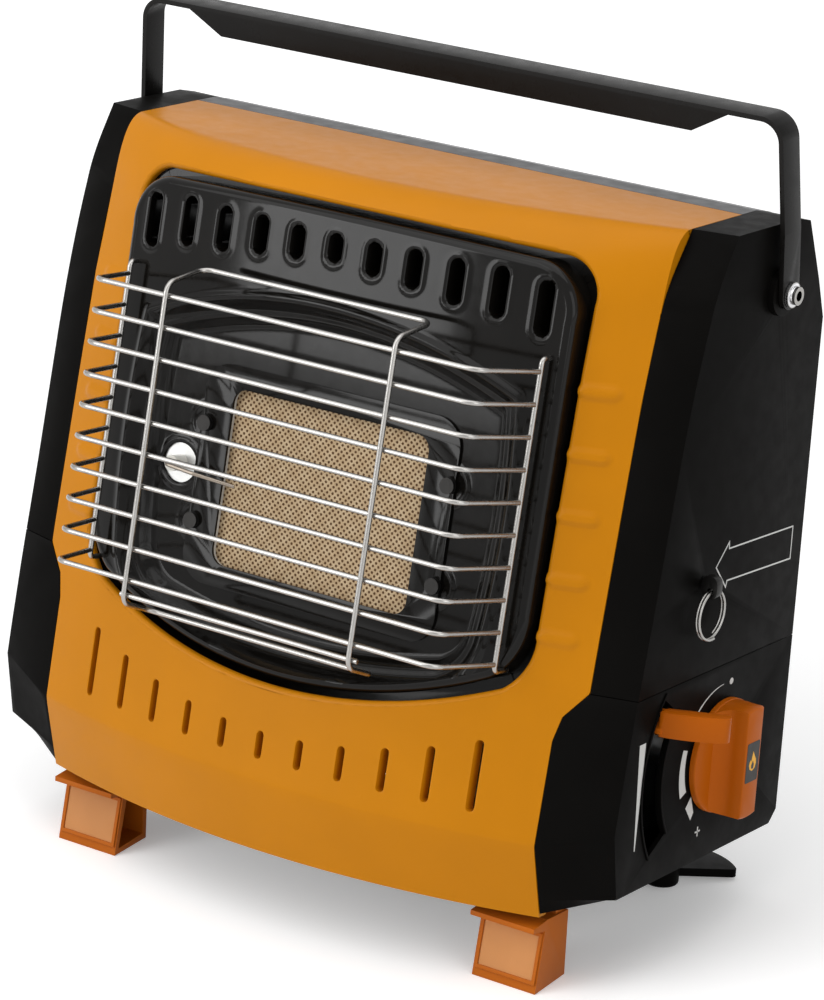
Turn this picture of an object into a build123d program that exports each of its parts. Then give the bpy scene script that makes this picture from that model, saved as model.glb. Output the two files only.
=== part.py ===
from build123d import *
from math import cos, hypot, radians, sin, tan
import os

# Portable propane heater, in millimetres.
# The case is drawn upright: X to the right, Y to the back, Z up from the bottom of the side panels,
# with the rear face at Y = 0.  At the end every piece is leaned back on its feet and moved so that
# the origin is the middle of the footprint.

# ---- Case ----
case_half = 149.0
seam_half = 131.0
low_seam_half = 119.5
case_height = 252.0
cover_height = 79.0
wall = 2.0
sheet = 1.0
seam_gap = 0.3
case_lean = 6.75
rear_corner = 5.0
rear_kink_height = 209.0
rear_slope_depth = 17.0
top_strip_front = -38.4

# ---- Front panel: a bowed sheet, leaned back, with a soft brow ----
face_lean = 8.25
fold_height = 17.5
fold_front = -152.6
hem_front = -146.0
hem_bottom = -13.5
panel_bow_radius = 390.0
hem_bow_radius = 360.0
brow_start = 222.0
brow_top_front = -100.0
brow_bow_radius = 343.0
flank_start = 40.0
flank_levels = (fold_height, 85.0, 145.0, 190.0, brow_start)
flank_falls = (0.0, 0.9, 3.0, 5.0, 8.5)

# ---- Window and vents in the front panel ----
window_half = 108.2
window_bottom = -91.5
window_shoulder = 80.0
window_top = 99.5
window_sill_half = 98.0
vent_pitch = 18.6
vent_count = 11
vent_width = 3.2
vent_bottom = 26.5
vent_top = 37.6
vent_top_growth = 514.0
rib_length = 15.0
rib_height = 5.0
rib_rise = 1.0
rib_centre = 116.0
rib_levels = (97.5, 119.5, 143.5, 167.0, 191.0)

# ---- Face frame: the plane of the guard, leaned back with the front panel ----
face_origin = (0.0, -160.0, 149.3)
lip_back = 50.0
reflector_gap = 3.5
reflector_sheet = 0.8
reflector_front = 28.5
reflector_bow_radius = 600.0
bowl_floor = 44.0
reflector_vents = (0.0, 18.1, 36.2, 54.9, 73.6, 92.6)
reflector_vent_centres = (82.3, 81.4, 80.9, 79.7, 79.3, 76.6)
reflector_vent_lengths = (11.5, 13.5, 15.5, 18.0, 19.8, 21.8)
reflector_vent_width = 7.0

# ---- Burner ----
plaque_width = 94.0
plaque_height = 71.0
plaque_depth = 13.0
plaque_centre = -18.0
plaque_corner = 6.0
plaque_front = 46.0
plaque_margin = 4.0
frame_border = 9.0
frame_sheet = 1.2
box_depth = 30.0
box_margin = 15.0
burner_screw_x = 58.5
burner_screw_z = (1.0, -38.5)
electrode_x = -69.3
electrode_z = -17.5

# ---- Guard wires ----
wire = 2.1
guard_rows_count = 10
guard_pitch = 12.54
guard_top_row = 53.9
guard_front_half = 90.25
guard_side_half = 97.9
guard_depth = 30.8
guard_frame_half = 54.0
guard_frame_front = 1.9
guard_bend = 6.0

# ---- Gas axis: cartridge, regulator, knob and lever share it ----
axis_y = -50.5
axis_z = 41.5
cartridge_radius = 33.0
cartridge_length = 185.0
cradle_clearance = 1.0
socket_radius = 14.0
socket_depth = 7.0
regulator_radius = 22.0
regulator_start = 90.0
regulator_end = 115.0
neck_radius = 8.0
stem_radius = 3.0
running = 0.08
free_gap = 0.4

# ---- Knob and lever ----
knob_radius = 23.0
knob_disc = 2.5
knob_gap = 0.6
grip_width = 12.5
grip_rise = 12.0
lever_inner = 50.6
lever_outer = 54.4
lever_rest = 151.8
lever_spread = 5.3
lever_swing = 47.0
lever_plate = 4.0
lever_plate_start = 132.0
lever_hub = 12.0
paddle_reach = 22.0
paddle_height = 10.0
paddle_shift = 10.0
paddle_thickness = 4.0
pusher_travel = 5.0

# ---- Pull ring ----
pull_y = -75.0
pull_z = 116.5
pull_rod_radius = 1.5
pull_travel = 10.0
ring_radius = 9.7
ring_wire = 0.8
eye_width = 4.0

# ---- Handle ----
pivot_y = -37.0
pivot_z = 225.0
boss_height = 3.0
boss_radius = 9.0
strap_width = 12.0
strap_thickness = 2.0
handle_rise = 69.0
handle_bar_height = 11.0
handle_bar_half = 112.0
handle_bend = 9.0
screw_radius = 2.5
screw_head_radius = 5.0

# ---- Feet ----
foot_inner = 89.0
foot_outer = 118.5
foot_pin_y = -106.0
foot_pin_z = -9.0
foot_pin_radius = 2.0
foot_lug = 4.0
foot_ear = 3.0
foot_lug_radius = 5.0
foot_front_bottom = -123.2
foot_rear_bottom = -102.5
foot_shoulder = -17.0
foot_wall = 2.5
foot_tab_reach = 9.0
rear_foot_x = 108.5
rear_foot_y = -16.5
rear_foot_radius = 7.2
fan_radius = 31.0
fan_thickness = 3.5
fan_from = 40.0
fan_to = 112.0
floor_front = -46.8
tray_sheet = 1.2

# ---- Rear door ----
door_half = 96.0
door_bottom = 8.0
door_top = 80.0
door_gap = 0.6
door_pin_radius = 1.5
door_knuckle_radius = 3.0
door_knuckle_length = 14.0
shield_height = 77.5

pieces = {}


def keep(name, piece):
    """Remember a finished piece under its name until all of them are stood on their feet."""
    pieces[name] = piece.part


def floor_z(y):
    """Height of the standing surface below the upright case at depth y."""
    return floor_front + tan(radians(case_lean)) * (y - foot_front_bottom)


def face_at(depth):
    """Plane parallel to the guard's front, `depth` behind it, seen from the front."""
    tilt = radians(face_lean)
    facing = Plane(origin=face_origin, x_dir=(1, 0, 0), z_dir=(0, -cos(tilt), sin(tilt)))
    return facing.offset(-depth)


def face_point(x, depth, z):
    """Point of the upright case at x across, `depth` behind the guard's front and z up the face."""
    return face_at(depth).from_local_coords((x, z, 0))


def face_section(height):
    """Plane across the face at `height` up it: X to the right and Y into the case."""
    tilt = radians(face_lean)
    up = (0, sin(tilt), cos(tilt))
    return Plane(origin=face_point(0, 0, height), x_dir=(1, 0, 0), z_dir=up)


def across(x):
    """Plane across the case at x, seen along the X axis: Y to the back and Z up."""
    return Plane.YZ.offset(x)


def slot_shape(width, length):
    """Upright slot with round ends, as a sketch."""
    with BuildSketch() as slot:
        SlotOverall(length, width, rotation=90)
    return slot.sketch_local


# ======================================================================================
# Front panel
# ======================================================================================


def front_y(x, level):
    """Depth of the front panel's face at x and the given flank level."""
    fall = flank_falls[flank_levels.index(level)]
    share = max(0.0, abs(x) - flank_start) / (seam_half - flank_start)
    slope = tan(radians(face_lean)) * (level - fold_height)
    return fold_front + slope + x * x / (2 * panel_bow_radius) + fall * share * share


def hem_y(x):
    """Depth of the front panel's bottom edge at x."""
    return hem_front + x * x / (2 * hem_bow_radius)


def panel_profile(x, depth, drop, back, bottom):
    """Section of the case front at x: hem, face, brow and top, closed at the back."""
    front = [(front_y(x, level) + depth, level - drop) for level in flank_levels]
    brow_back = brow_top_front + x * x / (2 * brow_bow_radius) + depth
    slope = (front[-1][0] - front[-2][0], front[-1][1] - front[-2][1])
    top = case_height - drop
    with BuildSketch() as profile:
        with BuildLine():
            hem = Polyline((back, bottom), (hem_y(x) + depth, bottom), front[0])
            face = Spline(*front)
            brow = Spline(face @ 1, (brow_back, top), tangents=(slope, (1, 0)))
            Polyline(brow @ 1, (back, top), hem @ 0)
        make_face()
    return profile.sketch_local


def case_front(depth, drop, back, bottom):
    """Solid bounded by the case front, moved `depth` back and `drop` down."""
    stations = [seam_half * share for share in (-1.0, -0.7, -0.35, 0.35, 0.7, 1.0)]
    with BuildPart() as block:
        for station in stations:
            with BuildSketch(across(station)):
                add(panel_profile(station, depth, drop, back, bottom))
        loft()
    return block.part


def window_shape(inset):
    """Edge of the window in the front panel, `inset` inside the cut sheet, in the face plane."""
    side = window_half - inset
    low = window_bottom + inset
    top = window_top - inset
    sill_half = window_sill_half - inset
    with BuildSketch() as window:
        with BuildLine():
            sill = ThreePointArc((-sill_half, low + 21.5), (0, low), (sill_half, low + 21.5))
            corner = ThreePointArc(sill @ 1, (side - 2.9, low + 30.4), (side, low + 44.6))
            jamb = Line(corner @ 1, (side, window_shoulder - inset))
            shoulder = ThreePointArc(
                jamb @ 1, (side - 4.4, top - 6.0), (side - 16.2, top - 1.4)
            )
            head = ThreePointArc(shoulder @ 1, (0, top), (-side + 16.2, top - 1.4))
            other = ThreePointArc(
                head @ 1, (-side + 4.4, top - 6.0), (-side, window_shoulder - inset)
            )
            left = Line(other @ 1, (-side, low + 44.6))
            ThreePointArc(left @ 1, (-side + 2.9, low + 30.4), sill @ 0)
        make_face()
    return window.sketch_local


def trimmed_front(inset):
    """Front outline of the sheet between the side panels, `inset` inside the seam."""
    with BuildSketch() as outline:
        with BuildLine():
            right = Polyline(
                (0, hem_bottom - 20),
                (low_seam_half - inset, hem_bottom - 20),
                (low_seam_half + 0.7 - inset, cover_height - 20),
                (low_seam_half + 3 - inset, cover_height - 10.4),
                (seam_half - inset, cover_height),
                (seam_half - inset, case_height + 20),
                (0, case_height + 20),
            )
            mirror(right, about=Plane.YZ)
        make_face()
    return outline.sketch_local


outer_front = case_front(0, 0, top_strip_front, hem_bottom)
inner_front = case_front(sheet, sheet, top_strip_front + 20, hem_bottom - 10)

with BuildPart() as window_lip:
    with BuildSketch(face_at(lip_back)):
        add(window_shape(0))
        add(window_shape(sheet), mode=Mode.SUBTRACT)
    extrude(amount=lip_back)
    add(outer_front, mode=Mode.INTERSECT)

with BuildPart() as panel_sheet:
    add(outer_front)
    add(inner_front, mode=Mode.SUBTRACT)
    with BuildSketch(face_at(lip_back)):
        add(window_shape(0))
    extrude(amount=case_half, mode=Mode.SUBTRACT)
    add(window_lip.part)
    with BuildSketch(Plane.XZ.offset(-hem_front - 20)):
        for number in range(vent_count):
            vent_x = (number - (vent_count - 1) / 2) * vent_pitch
            vent_end = vent_top + vent_x * vent_x / vent_top_growth
            with Locations((vent_x, (vent_end + vent_bottom) / 2)):
                add(slot_shape(vent_width, vent_end - vent_bottom))
    extrude(amount=case_height, mode=Mode.SUBTRACT)
    with BuildSketch(Plane.XZ):
        add(trimmed_front(seam_gap))
    extrude(amount=case_height, mode=Mode.INTERSECT)

# The pressed ribs beside the window follow the face, a little proud of it.
proud_front = case_front(-rib_rise, 0, top_strip_front, hem_bottom)
with BuildPart() as ribs:
    with BuildSketch(Plane.XZ):
        for level in rib_levels:
            for side in (-1, 1):
                with Locations((side * rib_centre, level)):
                    SlotOverall(rib_length, rib_height)
    extrude(amount=case_height)
    add(proud_front, mode=Mode.INTERSECT)
    add(inner_front, mode=Mode.SUBTRACT)
with BuildPart() as front_panel:
    add(panel_sheet.part)
    add(ribs.part)
keep("front_panel", front_panel)

# ======================================================================================
# Side panels and lower covers
# ======================================================================================

edge_fold = (-124.5, 27.0)
edge_points = (edge_fold, (-118.0, 66.0), (-108.2, 117.8), (-96.5, 182.0), (-86.0, brow_start))
edge_top = -71.0
edge_hem = (-119.5, 0.0)


def rear_points(inset):
    """Top, rear and bottom corners shared by the side panels, from the top front round to the heel."""
    kink = rear_kink_height
    return [
        (-27 + inset, case_height - inset),
        (-rear_slope_depth - 0.8 * inset, case_height - 2 - 0.8 * inset),
        (-6 - inset, 225 - 0.4 * inset),
        (-inset, kink),
        (-inset, rear_corner),
        (-rear_corner, inset),
    ]


def cap_shape(front, top_y, hem, heel_z, inset):
    """Section of a side panel, `inset` inside its faces, closed round the back."""
    moved = [(y + inset, z) for y, z in front]
    slope = (moved[-1][0] - moved[-2][0], moved[-1][1] - moved[-2][1])
    with BuildSketch() as cap:
        with BuildLine():
            face = Spline(*moved)
            brow = Spline(
                face @ 1, (top_y + inset, case_height - inset), tangents=(slope, (0.6, 1))
            )
            rear = Polyline(brow @ 1, *rear_points(inset))
            Polyline(rear @ 1, (-110, inset), (hem[0] + inset, heel_z + inset), face @ 0)
        make_face()
    return cap.sketch_local


def outer_cap(inset):
    """Section of the flat side of a side panel."""
    return cap_shape(edge_points, edge_top, edge_hem, edge_hem[1], inset)


def inner_cap(x, inset):
    """Section of a side panel at the seam with the front panel."""
    front = [(front_y(x, level), level) for level in flank_levels]
    top_y = brow_top_front + x * x / (2 * brow_bow_radius)
    return cap_shape(front, top_y, (hem_y(x), 0), hem_bottom + 1.5, inset)


def hollow_cap(seam, side):
    """Hollow corner piece of the case from `seam` out to the flat side, open towards the middle."""
    with BuildPart() as core:
        with BuildSketch(across(side * (case_half - wall))):
            add(outer_cap(wall))
        with BuildSketch(across(side * (seam - seam_gap))):
            add(inner_cap(seam, wall))
        loft(ruled=True)
    with BuildPart() as cap:
        with BuildSketch(across(side * case_half)):
            add(outer_cap(0))
        with BuildSketch(across(side * seam)):
            add(inner_cap(seam, 0))
        loft(ruled=True)
        add(core.part, mode=Mode.SUBTRACT)
    return cap.part


screw_arm = 8.0
screw_arm_inner = 121.0
case_screw_x = 125.0
case_screw_radius = 1.6
upper_screw_levels = (100.0, 190.0)
lower_screw_levels = (22.0,)


def side_cap(side, seam, low, high, screw_levels):
    """Part of a hollow corner piece between two heights, with its screw arms."""
    with BuildPart() as cap:
        add(hollow_cap(seam, side))
        with BuildSketch(Plane.XY.offset(low)):
            Rectangle(4 * case_half, 4 * case_half)
        extrude(amount=high - low, mode=Mode.INTERSECT)
        arm_length = case_half - wall / 2 - screw_arm_inner
        arm_x = side * (screw_arm_inner + arm_length / 2)
        for level in screw_levels:
            with Locations((arm_x, -sheet - screw_arm / 2, level)):
                Box(arm_length, screw_arm, screw_arm)
        with BuildSketch(Plane.XZ):
            for level in screw_levels:
                with Locations((side * case_screw_x, level)):
                    Circle(case_screw_radius)
        extrude(amount=screw_arm + 2 * wall, mode=Mode.SUBTRACT)
        with BuildSketch(Plane.XZ.offset(-top_strip_front)):
            add(trimmed_front(0))
        extrude(amount=case_height, mode=Mode.SUBTRACT)
    return cap.part


def upper_panel(side):
    """Side panel above the lower cover, with the raised boss that the handle turns on."""
    with BuildPart() as panel:
        add(side_cap(side, seam_half, cover_height, case_height + 10, upper_screw_levels))
        with BuildSketch(across(side * (case_half - wall / 2))):
            with Locations((pivot_y, pivot_z)):
                Circle(boss_radius)
        extrude(amount=side * (boss_height + wall / 2))
        with BuildSketch(across(0)):
            with Locations((pivot_y, pivot_z)):
                Circle(screw_radius + running)
        extrude(amount=side * 2 * case_half, mode=Mode.SUBTRACT)
    return panel.part


with BuildPart() as left_side_panel:
    add(upper_panel(-1))
keep("left_side_panel", left_side_panel)

with BuildPart() as right_side_panel:
    add(upper_panel(1))
    with BuildSketch(across(case_half - 2 * wall)):
        with Locations((pull_y, pull_z)):
            Circle(pull_rod_radius + 2)
    extrude(amount=3 * wall, mode=Mode.SUBTRACT)
keep("right_side_panel", right_side_panel)

with BuildPart() as left_lower_cover:
    add(side_cap(-1, low_seam_half, hem_bottom - 10, cover_height - seam_gap, lower_screw_levels))
keep("left_lower_cover", left_lower_cover)

axis_plane_z = (axis_y, axis_z)


def ring_sector(inner, outer, start, end):
    """Sector of a ring round the gas axis, seen along X."""
    middle = (start + end) / 2
    spots = {}
    for name, angle in (("start", start), ("middle", middle), ("end", end)):
        turn = radians(angle)
        spots[name] = (cos(turn), sin(turn))
    with BuildSketch() as sector:
        with BuildLine():
            outside = ThreePointArc(
                *[(outer * spots[name][0], outer * spots[name][1]) for name in spots]
            )
            inside = ThreePointArc(
                *[(inner * spots[name][0], inner * spots[name][1]) for name in spots]
            )
            Line(outside @ 0, inside @ 0)
            Line(outside @ 1, inside @ 1)
        make_face()
    return sector.sketch_local


lever_slot_inner = 43.5
lever_slot_outer = 56.3
with BuildPart() as control_plate:
    add(side_cap(1, low_seam_half, hem_bottom - 10, cover_height - seam_gap, lower_screw_levels))
    with BuildSketch(across(case_half - 2 * wall)) as openings:
        with Locations(axis_plane_z):
            Circle(neck_radius + free_gap)
            add(
                ring_sector(
                    lever_slot_inner,
                    lever_slot_outer,
                    lever_rest - lever_spread - 3,
                    lever_rest + lever_spread + lever_swing + 8,
                )
            )
    extrude(amount=3 * wall, mode=Mode.SUBTRACT)
keep("control_plate", control_plate)

# ======================================================================================
# Back shell, tray, cradle and shield
# ======================================================================================

with BuildPart() as back_shell:
    with BuildSketch(across(-seam_half + seam_gap)):
        with BuildLine():
            skin = Polyline(
                (0, tray_sheet), (0, rear_kink_height), (-6, 225),
                (-rear_slope_depth, case_height - 2), (-27, case_height),
                (top_strip_front + seam_gap, case_height),
            )
            offset(skin, amount=sheet, side=Side.LEFT)
        make_face()
    extrude(amount=2 * (seam_half - seam_gap))
    with BuildSketch(Plane.XZ.offset(-10)):
        for side in (-1, 1):
            with Locations((side * (low_seam_half - seam_gap + case_half / 2), 0)):
                Rectangle(case_half, 2 * cover_height)
    extrude(amount=20, mode=Mode.SUBTRACT)
    with BuildSketch(Plane.XZ.offset(-10)):
        with Locations((0, (door_bottom + door_top) / 2)):
            Rectangle(2 * (door_half + door_gap), door_top - door_bottom + 2 * door_gap)
        for side in (-1, 1):
            for level in (*lower_screw_levels, *upper_screw_levels):
                with Locations((side * case_screw_x, level)):
                    Circle(case_screw_radius)
    extrude(amount=20, mode=Mode.SUBTRACT)
    with BuildSketch(Plane.XZ.offset(-10)):
        with Locations((0, 200)):
            with GridLocations(20, 12, 9, 2):
                SlotOverall(14, 3)
    extrude(amount=20, mode=Mode.SUBTRACT)
keep("back_shell", back_shell)

tray_half = low_seam_half - seam_gap
tray_flange = 10.0
ear_inner = foot_inner + 1 + foot_lug + free_gap
ear_outer = foot_outer - 1 - foot_lug - free_gap - foot_ear
ear_starts = (ear_inner, ear_outer)


def ears(side):
    """Hinge ears that hang from the tray for one front foot."""
    with BuildPart() as pair:
        for start in ear_starts:
            first = start if side > 0 else -start - foot_ear
            with BuildSketch(across(first)):
                with Locations((foot_pin_y, foot_pin_z)):
                    Circle(foot_lug_radius)
                with Locations((foot_pin_y, foot_pin_z / 2)):
                    Rectangle(2 * foot_lug_radius, -foot_pin_z)
                with Locations((foot_pin_y, foot_pin_z)):
                    Circle(foot_pin_radius, mode=Mode.SUBTRACT)
            extrude(amount=foot_ear)
    return pair.part


def tray_edge(x):
    """Depth of the tray's front edge at x, just behind the front panel's hem."""
    share = (tray_sheet - hem_bottom) / (fold_height - hem_bottom)
    face = hem_y(x) + share * (front_y(x, fold_height) - hem_y(x))
    return face + 1.2 * sheet + seam_gap


with BuildPart() as base_tray:
    with BuildSketch():
        with BuildLine():
            rim = ThreePointArc(
                (-tray_half, tray_edge(tray_half)), (0, tray_edge(0)), (tray_half, tray_edge(tray_half))
            )
            Polyline(rim @ 1, (tray_half, -sheet), (-tray_half, -sheet), rim @ 0)
        make_face()
    extrude(amount=tray_sheet)
    with BuildSketch(Plane.XZ.offset(sheet)):
        with Locations((0, (tray_flange - 3) / 2)):
            Rectangle(2 * tray_half, tray_flange - 3)
    extrude(amount=tray_sheet)
    with BuildSketch(Plane.XY.offset(-tray_sheet)):
        with Locations((0, -60)):
            with GridLocations(24, 20, 6, 2):
                SlotOverall(16, 4)
        for side in (-1, 1):
            with Locations((side * rear_foot_x, rear_foot_y)):
                Circle(screw_radius)
    extrude(amount=3 * tray_sheet, mode=Mode.SUBTRACT)
    add(ears(-1))
    add(ears(1))
keep("base_tray", base_tray)

cradle_radius = cartridge_radius + cradle_clearance
cradle_half = 70.0
with BuildPart() as cartridge_cradle:
    with BuildSketch(across(-cradle_half)):
        with Locations(axis_plane_z):
            add(ring_sector(cradle_radius, cradle_radius + sheet, 205, 335))
        for y in (-18, 18):
            with Locations((axis_y + y, (tray_sheet + 10) / 2 + 0.3)):
                Rectangle(4, 9.4)
        with Locations(axis_plane_z):
            Circle(cradle_radius, mode=Mode.SUBTRACT)
    extrude(amount=2 * cradle_half)
keep("cartridge_cradle", cartridge_cradle)

shield_front = -96.0
pipe_x = 106.0
with BuildPart() as heat_shield:
    with BuildSketch(Plane.XY.offset(shield_height)):
        with Locations((0, (shield_front - sheet) / 2)):
            Rectangle(2 * (low_seam_half - 2), -shield_front - sheet)
        with Locations((pipe_x, axis_y)):
            Circle(5, mode=Mode.SUBTRACT)
    extrude(amount=sheet)
    with BuildSketch(Plane.XZ.offset(sheet)):
        with Locations((0, shield_height + 5)):
            Rectangle(2 * (low_seam_half - 2), 10)
    extrude(amount=sheet)
keep("heat_shield", heat_shield)

# ======================================================================================
# Rear door
# ======================================================================================

door_hinge_z = door_bottom - door_knuckle_radius
door_knuckle_x = 70.0
latch_z = door_top - 8
with BuildPart() as cartridge_door:
    with BuildSketch(Plane.XZ):
        with Locations((0, (door_bottom + door_top) / 2)):
            Rectangle(2 * door_half, door_top - door_bottom)
            with GridLocations(22, 12, 7, 3):
                SlotOverall(15, 3, mode=Mode.SUBTRACT)
        with Locations((0, latch_z)):
            Circle(3, mode=Mode.SUBTRACT)
    extrude(amount=sheet)
    for side in (-1, 1):
        with BuildSketch(across(side * door_knuckle_x - door_knuckle_length / 2)):
            with Locations((door_knuckle_radius, door_hinge_z)):
                Circle(door_knuckle_radius)
            with Locations(((door_knuckle_radius - sheet) / 2, door_bottom + 1.5)):
                Rectangle(door_knuckle_radius + sheet, 3 + door_gap)
            with Locations((door_knuckle_radius, door_hinge_z)):
                Circle(door_pin_radius + running, mode=Mode.SUBTRACT)
        extrude(amount=door_knuckle_length)
keep("cartridge_door", cartridge_door)

pin_reach = 8.0
with BuildPart() as door_hinge_pins:
    for side in (-1, 1):
        start = side * door_knuckle_x - door_knuckle_length / 2 - pin_reach
        with BuildSketch(across(start)):
            with Locations((door_knuckle_radius, door_hinge_z)):
                Circle(door_pin_radius)
        extrude(amount=door_knuckle_length + 2 * pin_reach)
keep("door_hinge_pins", door_hinge_pins)

with BuildPart() as door_hinge_brackets:
    for side in (-1, 1):
        for end in (-1, 1):
            middle = side * door_knuckle_x + end * (door_knuckle_length / 2 + 4.5)
            with BuildSketch(across(middle - 3)):
                with Locations((door_knuckle_radius, door_hinge_z)):
                    Circle(door_knuckle_radius)
                with Locations((door_knuckle_radius / 2, door_hinge_z)):
                    Rectangle(door_knuckle_radius, 2 * door_knuckle_radius)
                with Locations((door_knuckle_radius, door_hinge_z)):
                    Circle(door_pin_radius, mode=Mode.SUBTRACT)
            extrude(amount=6)
keep("door_hinge_brackets", door_hinge_brackets)

with BuildPart() as door_pull:
    with BuildSketch(Plane.XZ.offset(-1.5)):
        with Locations((0, latch_z)):
            Circle(5)
    extrude(amount=1.5)
    with BuildSketch(Plane.XZ.offset(-8)):
        with Locations((0, latch_z)):
            Circle(7)
    extrude(amount=6.5)
    with BuildSketch(Plane.XZ):
        with Locations((0, latch_z)):
            Circle(3)
    extrude(amount=sheet)
keep("door_pull", door_pull)

with BuildPart() as door_magnet:
    with BuildSketch(Plane.XZ.offset(sheet)):
        for side in (-1, 1):
            with Locations((side * 40, shield_height - 4)):
                Rectangle(14, 8)
    extrude(amount=5)
keep("door_magnet", door_magnet)

# ======================================================================================
# Reflector and burner
# ======================================================================================


def reflector_outline(inset):
    """Front outline of the reflector, `inset` inside the window's edge, in the face plane."""
    return window_shape(reflector_gap + inset)


def behind_bow(setback):
    """Solid behind the reflector's bowed front, `setback` behind it."""
    bow = reflector_front + setback
    with BuildPart() as block:
        with BuildSketch(face_section(-2 * case_half)):
            with BuildLine():
                reach = case_half
                sag = reach * reach / (2 * reflector_bow_radius)
                curve = ThreePointArc((-reach, bow + sag), (0, bow), (reach, bow + sag))
                Polyline(curve @ 1, (reach, case_half), (-reach, case_half), curve @ 0)
            make_face()
        extrude(amount=4 * case_half)
    return block.part


def bowl_outline(inset):
    """Outer edge of the reflector's bowl in the face plane."""
    half = 88.0 - inset
    top = 59.0 - inset
    low = -85.0 + inset
    with BuildSketch() as bowl:
        with BuildLine():
            crown = ThreePointArc((half, top - 18), (0, top), (-half, top - 18))
            left = ThreePointArc(crown @ 1, (-half - 3, -6), (-half, low + 33))
            corner = ThreePointArc(left @ 1, (-half + 6, low + 18), (-half + 18, low + 9))
            sill = ThreePointArc(corner @ 1, (0, low), (half - 18, low + 9))
            other = ThreePointArc(sill @ 1, (half - 6, low + 18), (half, low + 33))
            ThreePointArc(other @ 1, (half + 3, -6), crown @ 0)
        make_face()
    return bowl.sketch_local


def rounded(width, height, corner, centre):
    """Rounded rectangle at `centre` up the face."""
    with BuildSketch() as shape:
        with Locations((0, centre)):
            RectangleRounded(width, height, corner)
    return shape.sketch_local


def bowl_block(inset, extra):
    """Solid that tapers from the bowl's edge in front to its floor."""
    with BuildPart() as block:
        with BuildSketch(face_at(reflector_front - 3)):
            add(bowl_outline(inset))
        with BuildSketch(face_at(bowl_floor + extra)):
            add(bowl_outline(inset + 11))
        loft(ruled=True)
    return block.part


row_levels = [guard_top_row - guard_pitch * row for row in range(guard_rows_count)]
upright_top = guard_top_row + 5
upright_low = row_levels[-1] - 3
with BuildPart() as reflector_core:
    with BuildSketch(face_at(lip_back + 5)):
        add(reflector_outline(reflector_sheet))
    extrude(amount=lip_back)
    add(behind_bow(reflector_sheet), mode=Mode.INTERSECT)

opening_width = plaque_width + 2 * plaque_margin + 4
opening_height = plaque_height + 2 * plaque_margin + 4
with BuildPart() as reflector_pan:
    with BuildSketch(face_at(lip_back)):
        add(reflector_outline(0))
    extrude(amount=lip_back)
    add(behind_bow(0), mode=Mode.INTERSECT)
    add(reflector_core.part, mode=Mode.SUBTRACT)
    with BuildSketch(face_at(lip_back + reflector_sheet)):
        add(reflector_outline(-reflector_gap - 5))
        add(reflector_outline(reflector_sheet), mode=Mode.SUBTRACT)
    extrude(amount=reflector_sheet)
    add(bowl_block(0, reflector_sheet), mode=Mode.SUBTRACT)
    with BuildSketch(face_at(lip_back)):
        for side in (-1, 1):
            for height in (upright_top, upright_low):
                with Locations((side * guard_side_half, height)):
                    Circle(wire / 2 + running)
        for place, (x, height, length) in enumerate(
            zip(reflector_vents, reflector_vent_centres, reflector_vent_lengths)
        ):
            for side in (-1, 1) if place else (1,):
                with Locations((side * x, height)):
                    add(slot_shape(reflector_vent_width, length))
    extrude(amount=lip_back, mode=Mode.SUBTRACT)

with BuildPart() as bowl:
    add(bowl_block(0, reflector_sheet))
    add(bowl_block(reflector_sheet, 0), mode=Mode.SUBTRACT)
    add(behind_bow(0), mode=Mode.INTERSECT)
    with BuildSketch(face_at(bowl_floor + reflector_sheet)):
        add(rounded(opening_width, opening_height, plaque_corner + 4, plaque_centre))
        with Locations((electrode_x, electrode_z)):
            Circle(8)
        for height in burner_screw_z:
            for side in (-1, 1):
                with Locations((side * burner_screw_x, height)):
                    Circle(case_screw_radius)
    extrude(amount=2 * reflector_sheet, mode=Mode.SUBTRACT)

with BuildPart() as reflector:
    add(reflector_pan.part)
    add(bowl.part)
keep("reflector", reflector)


def screw_holes(radius):
    """The four burner screw holes in the face plane."""
    with BuildSketch() as holes:
        for height in burner_screw_z:
            for side in (-1, 1):
                with Locations((side * burner_screw_x, height)):
                    Circle(radius)
    return holes.sketch_local


with BuildPart() as burner_frame:
    with BuildSketch(face_at(bowl_floor)):
        add(
            rounded(
                plaque_width + 2 * frame_border + 10,
                plaque_height + 2 * frame_border,
                2 * plaque_corner,
                plaque_centre,
            )
        )
        add(rounded(plaque_width, plaque_height, plaque_corner, plaque_centre), mode=Mode.SUBTRACT)
        add(screw_holes(case_screw_radius), mode=Mode.SUBTRACT)
    extrude(amount=frame_sheet)
keep("burner_frame", burner_frame)

with BuildPart() as ceramic_plaque:
    with BuildSketch(face_at(plaque_front + plaque_depth)):
        add(
            rounded(
                plaque_width + 2 * plaque_margin,
                plaque_height + 2 * plaque_margin,
                plaque_corner + 2,
                plaque_centre,
            )
        )
    extrude(amount=plaque_depth)
keep("ceramic_plaque", ceramic_plaque)

cavity_width = plaque_width + 2 * plaque_margin + 0.6
cavity_height = plaque_height + 2 * plaque_margin + 0.6
with BuildPart() as plaque_gasket:
    with BuildSketch(face_at(plaque_front)):
        add(
            rounded(
                cavity_width - 0.4, cavity_height - 0.4, plaque_corner + 2, plaque_centre
            )
        )
        add(
            rounded(plaque_width + 1, plaque_height + 1, plaque_corner, plaque_centre),
            mode=Mode.SUBTRACT,
        )
    extrude(amount=plaque_front - bowl_floor)
keep("plaque_gasket", plaque_gasket)

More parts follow.
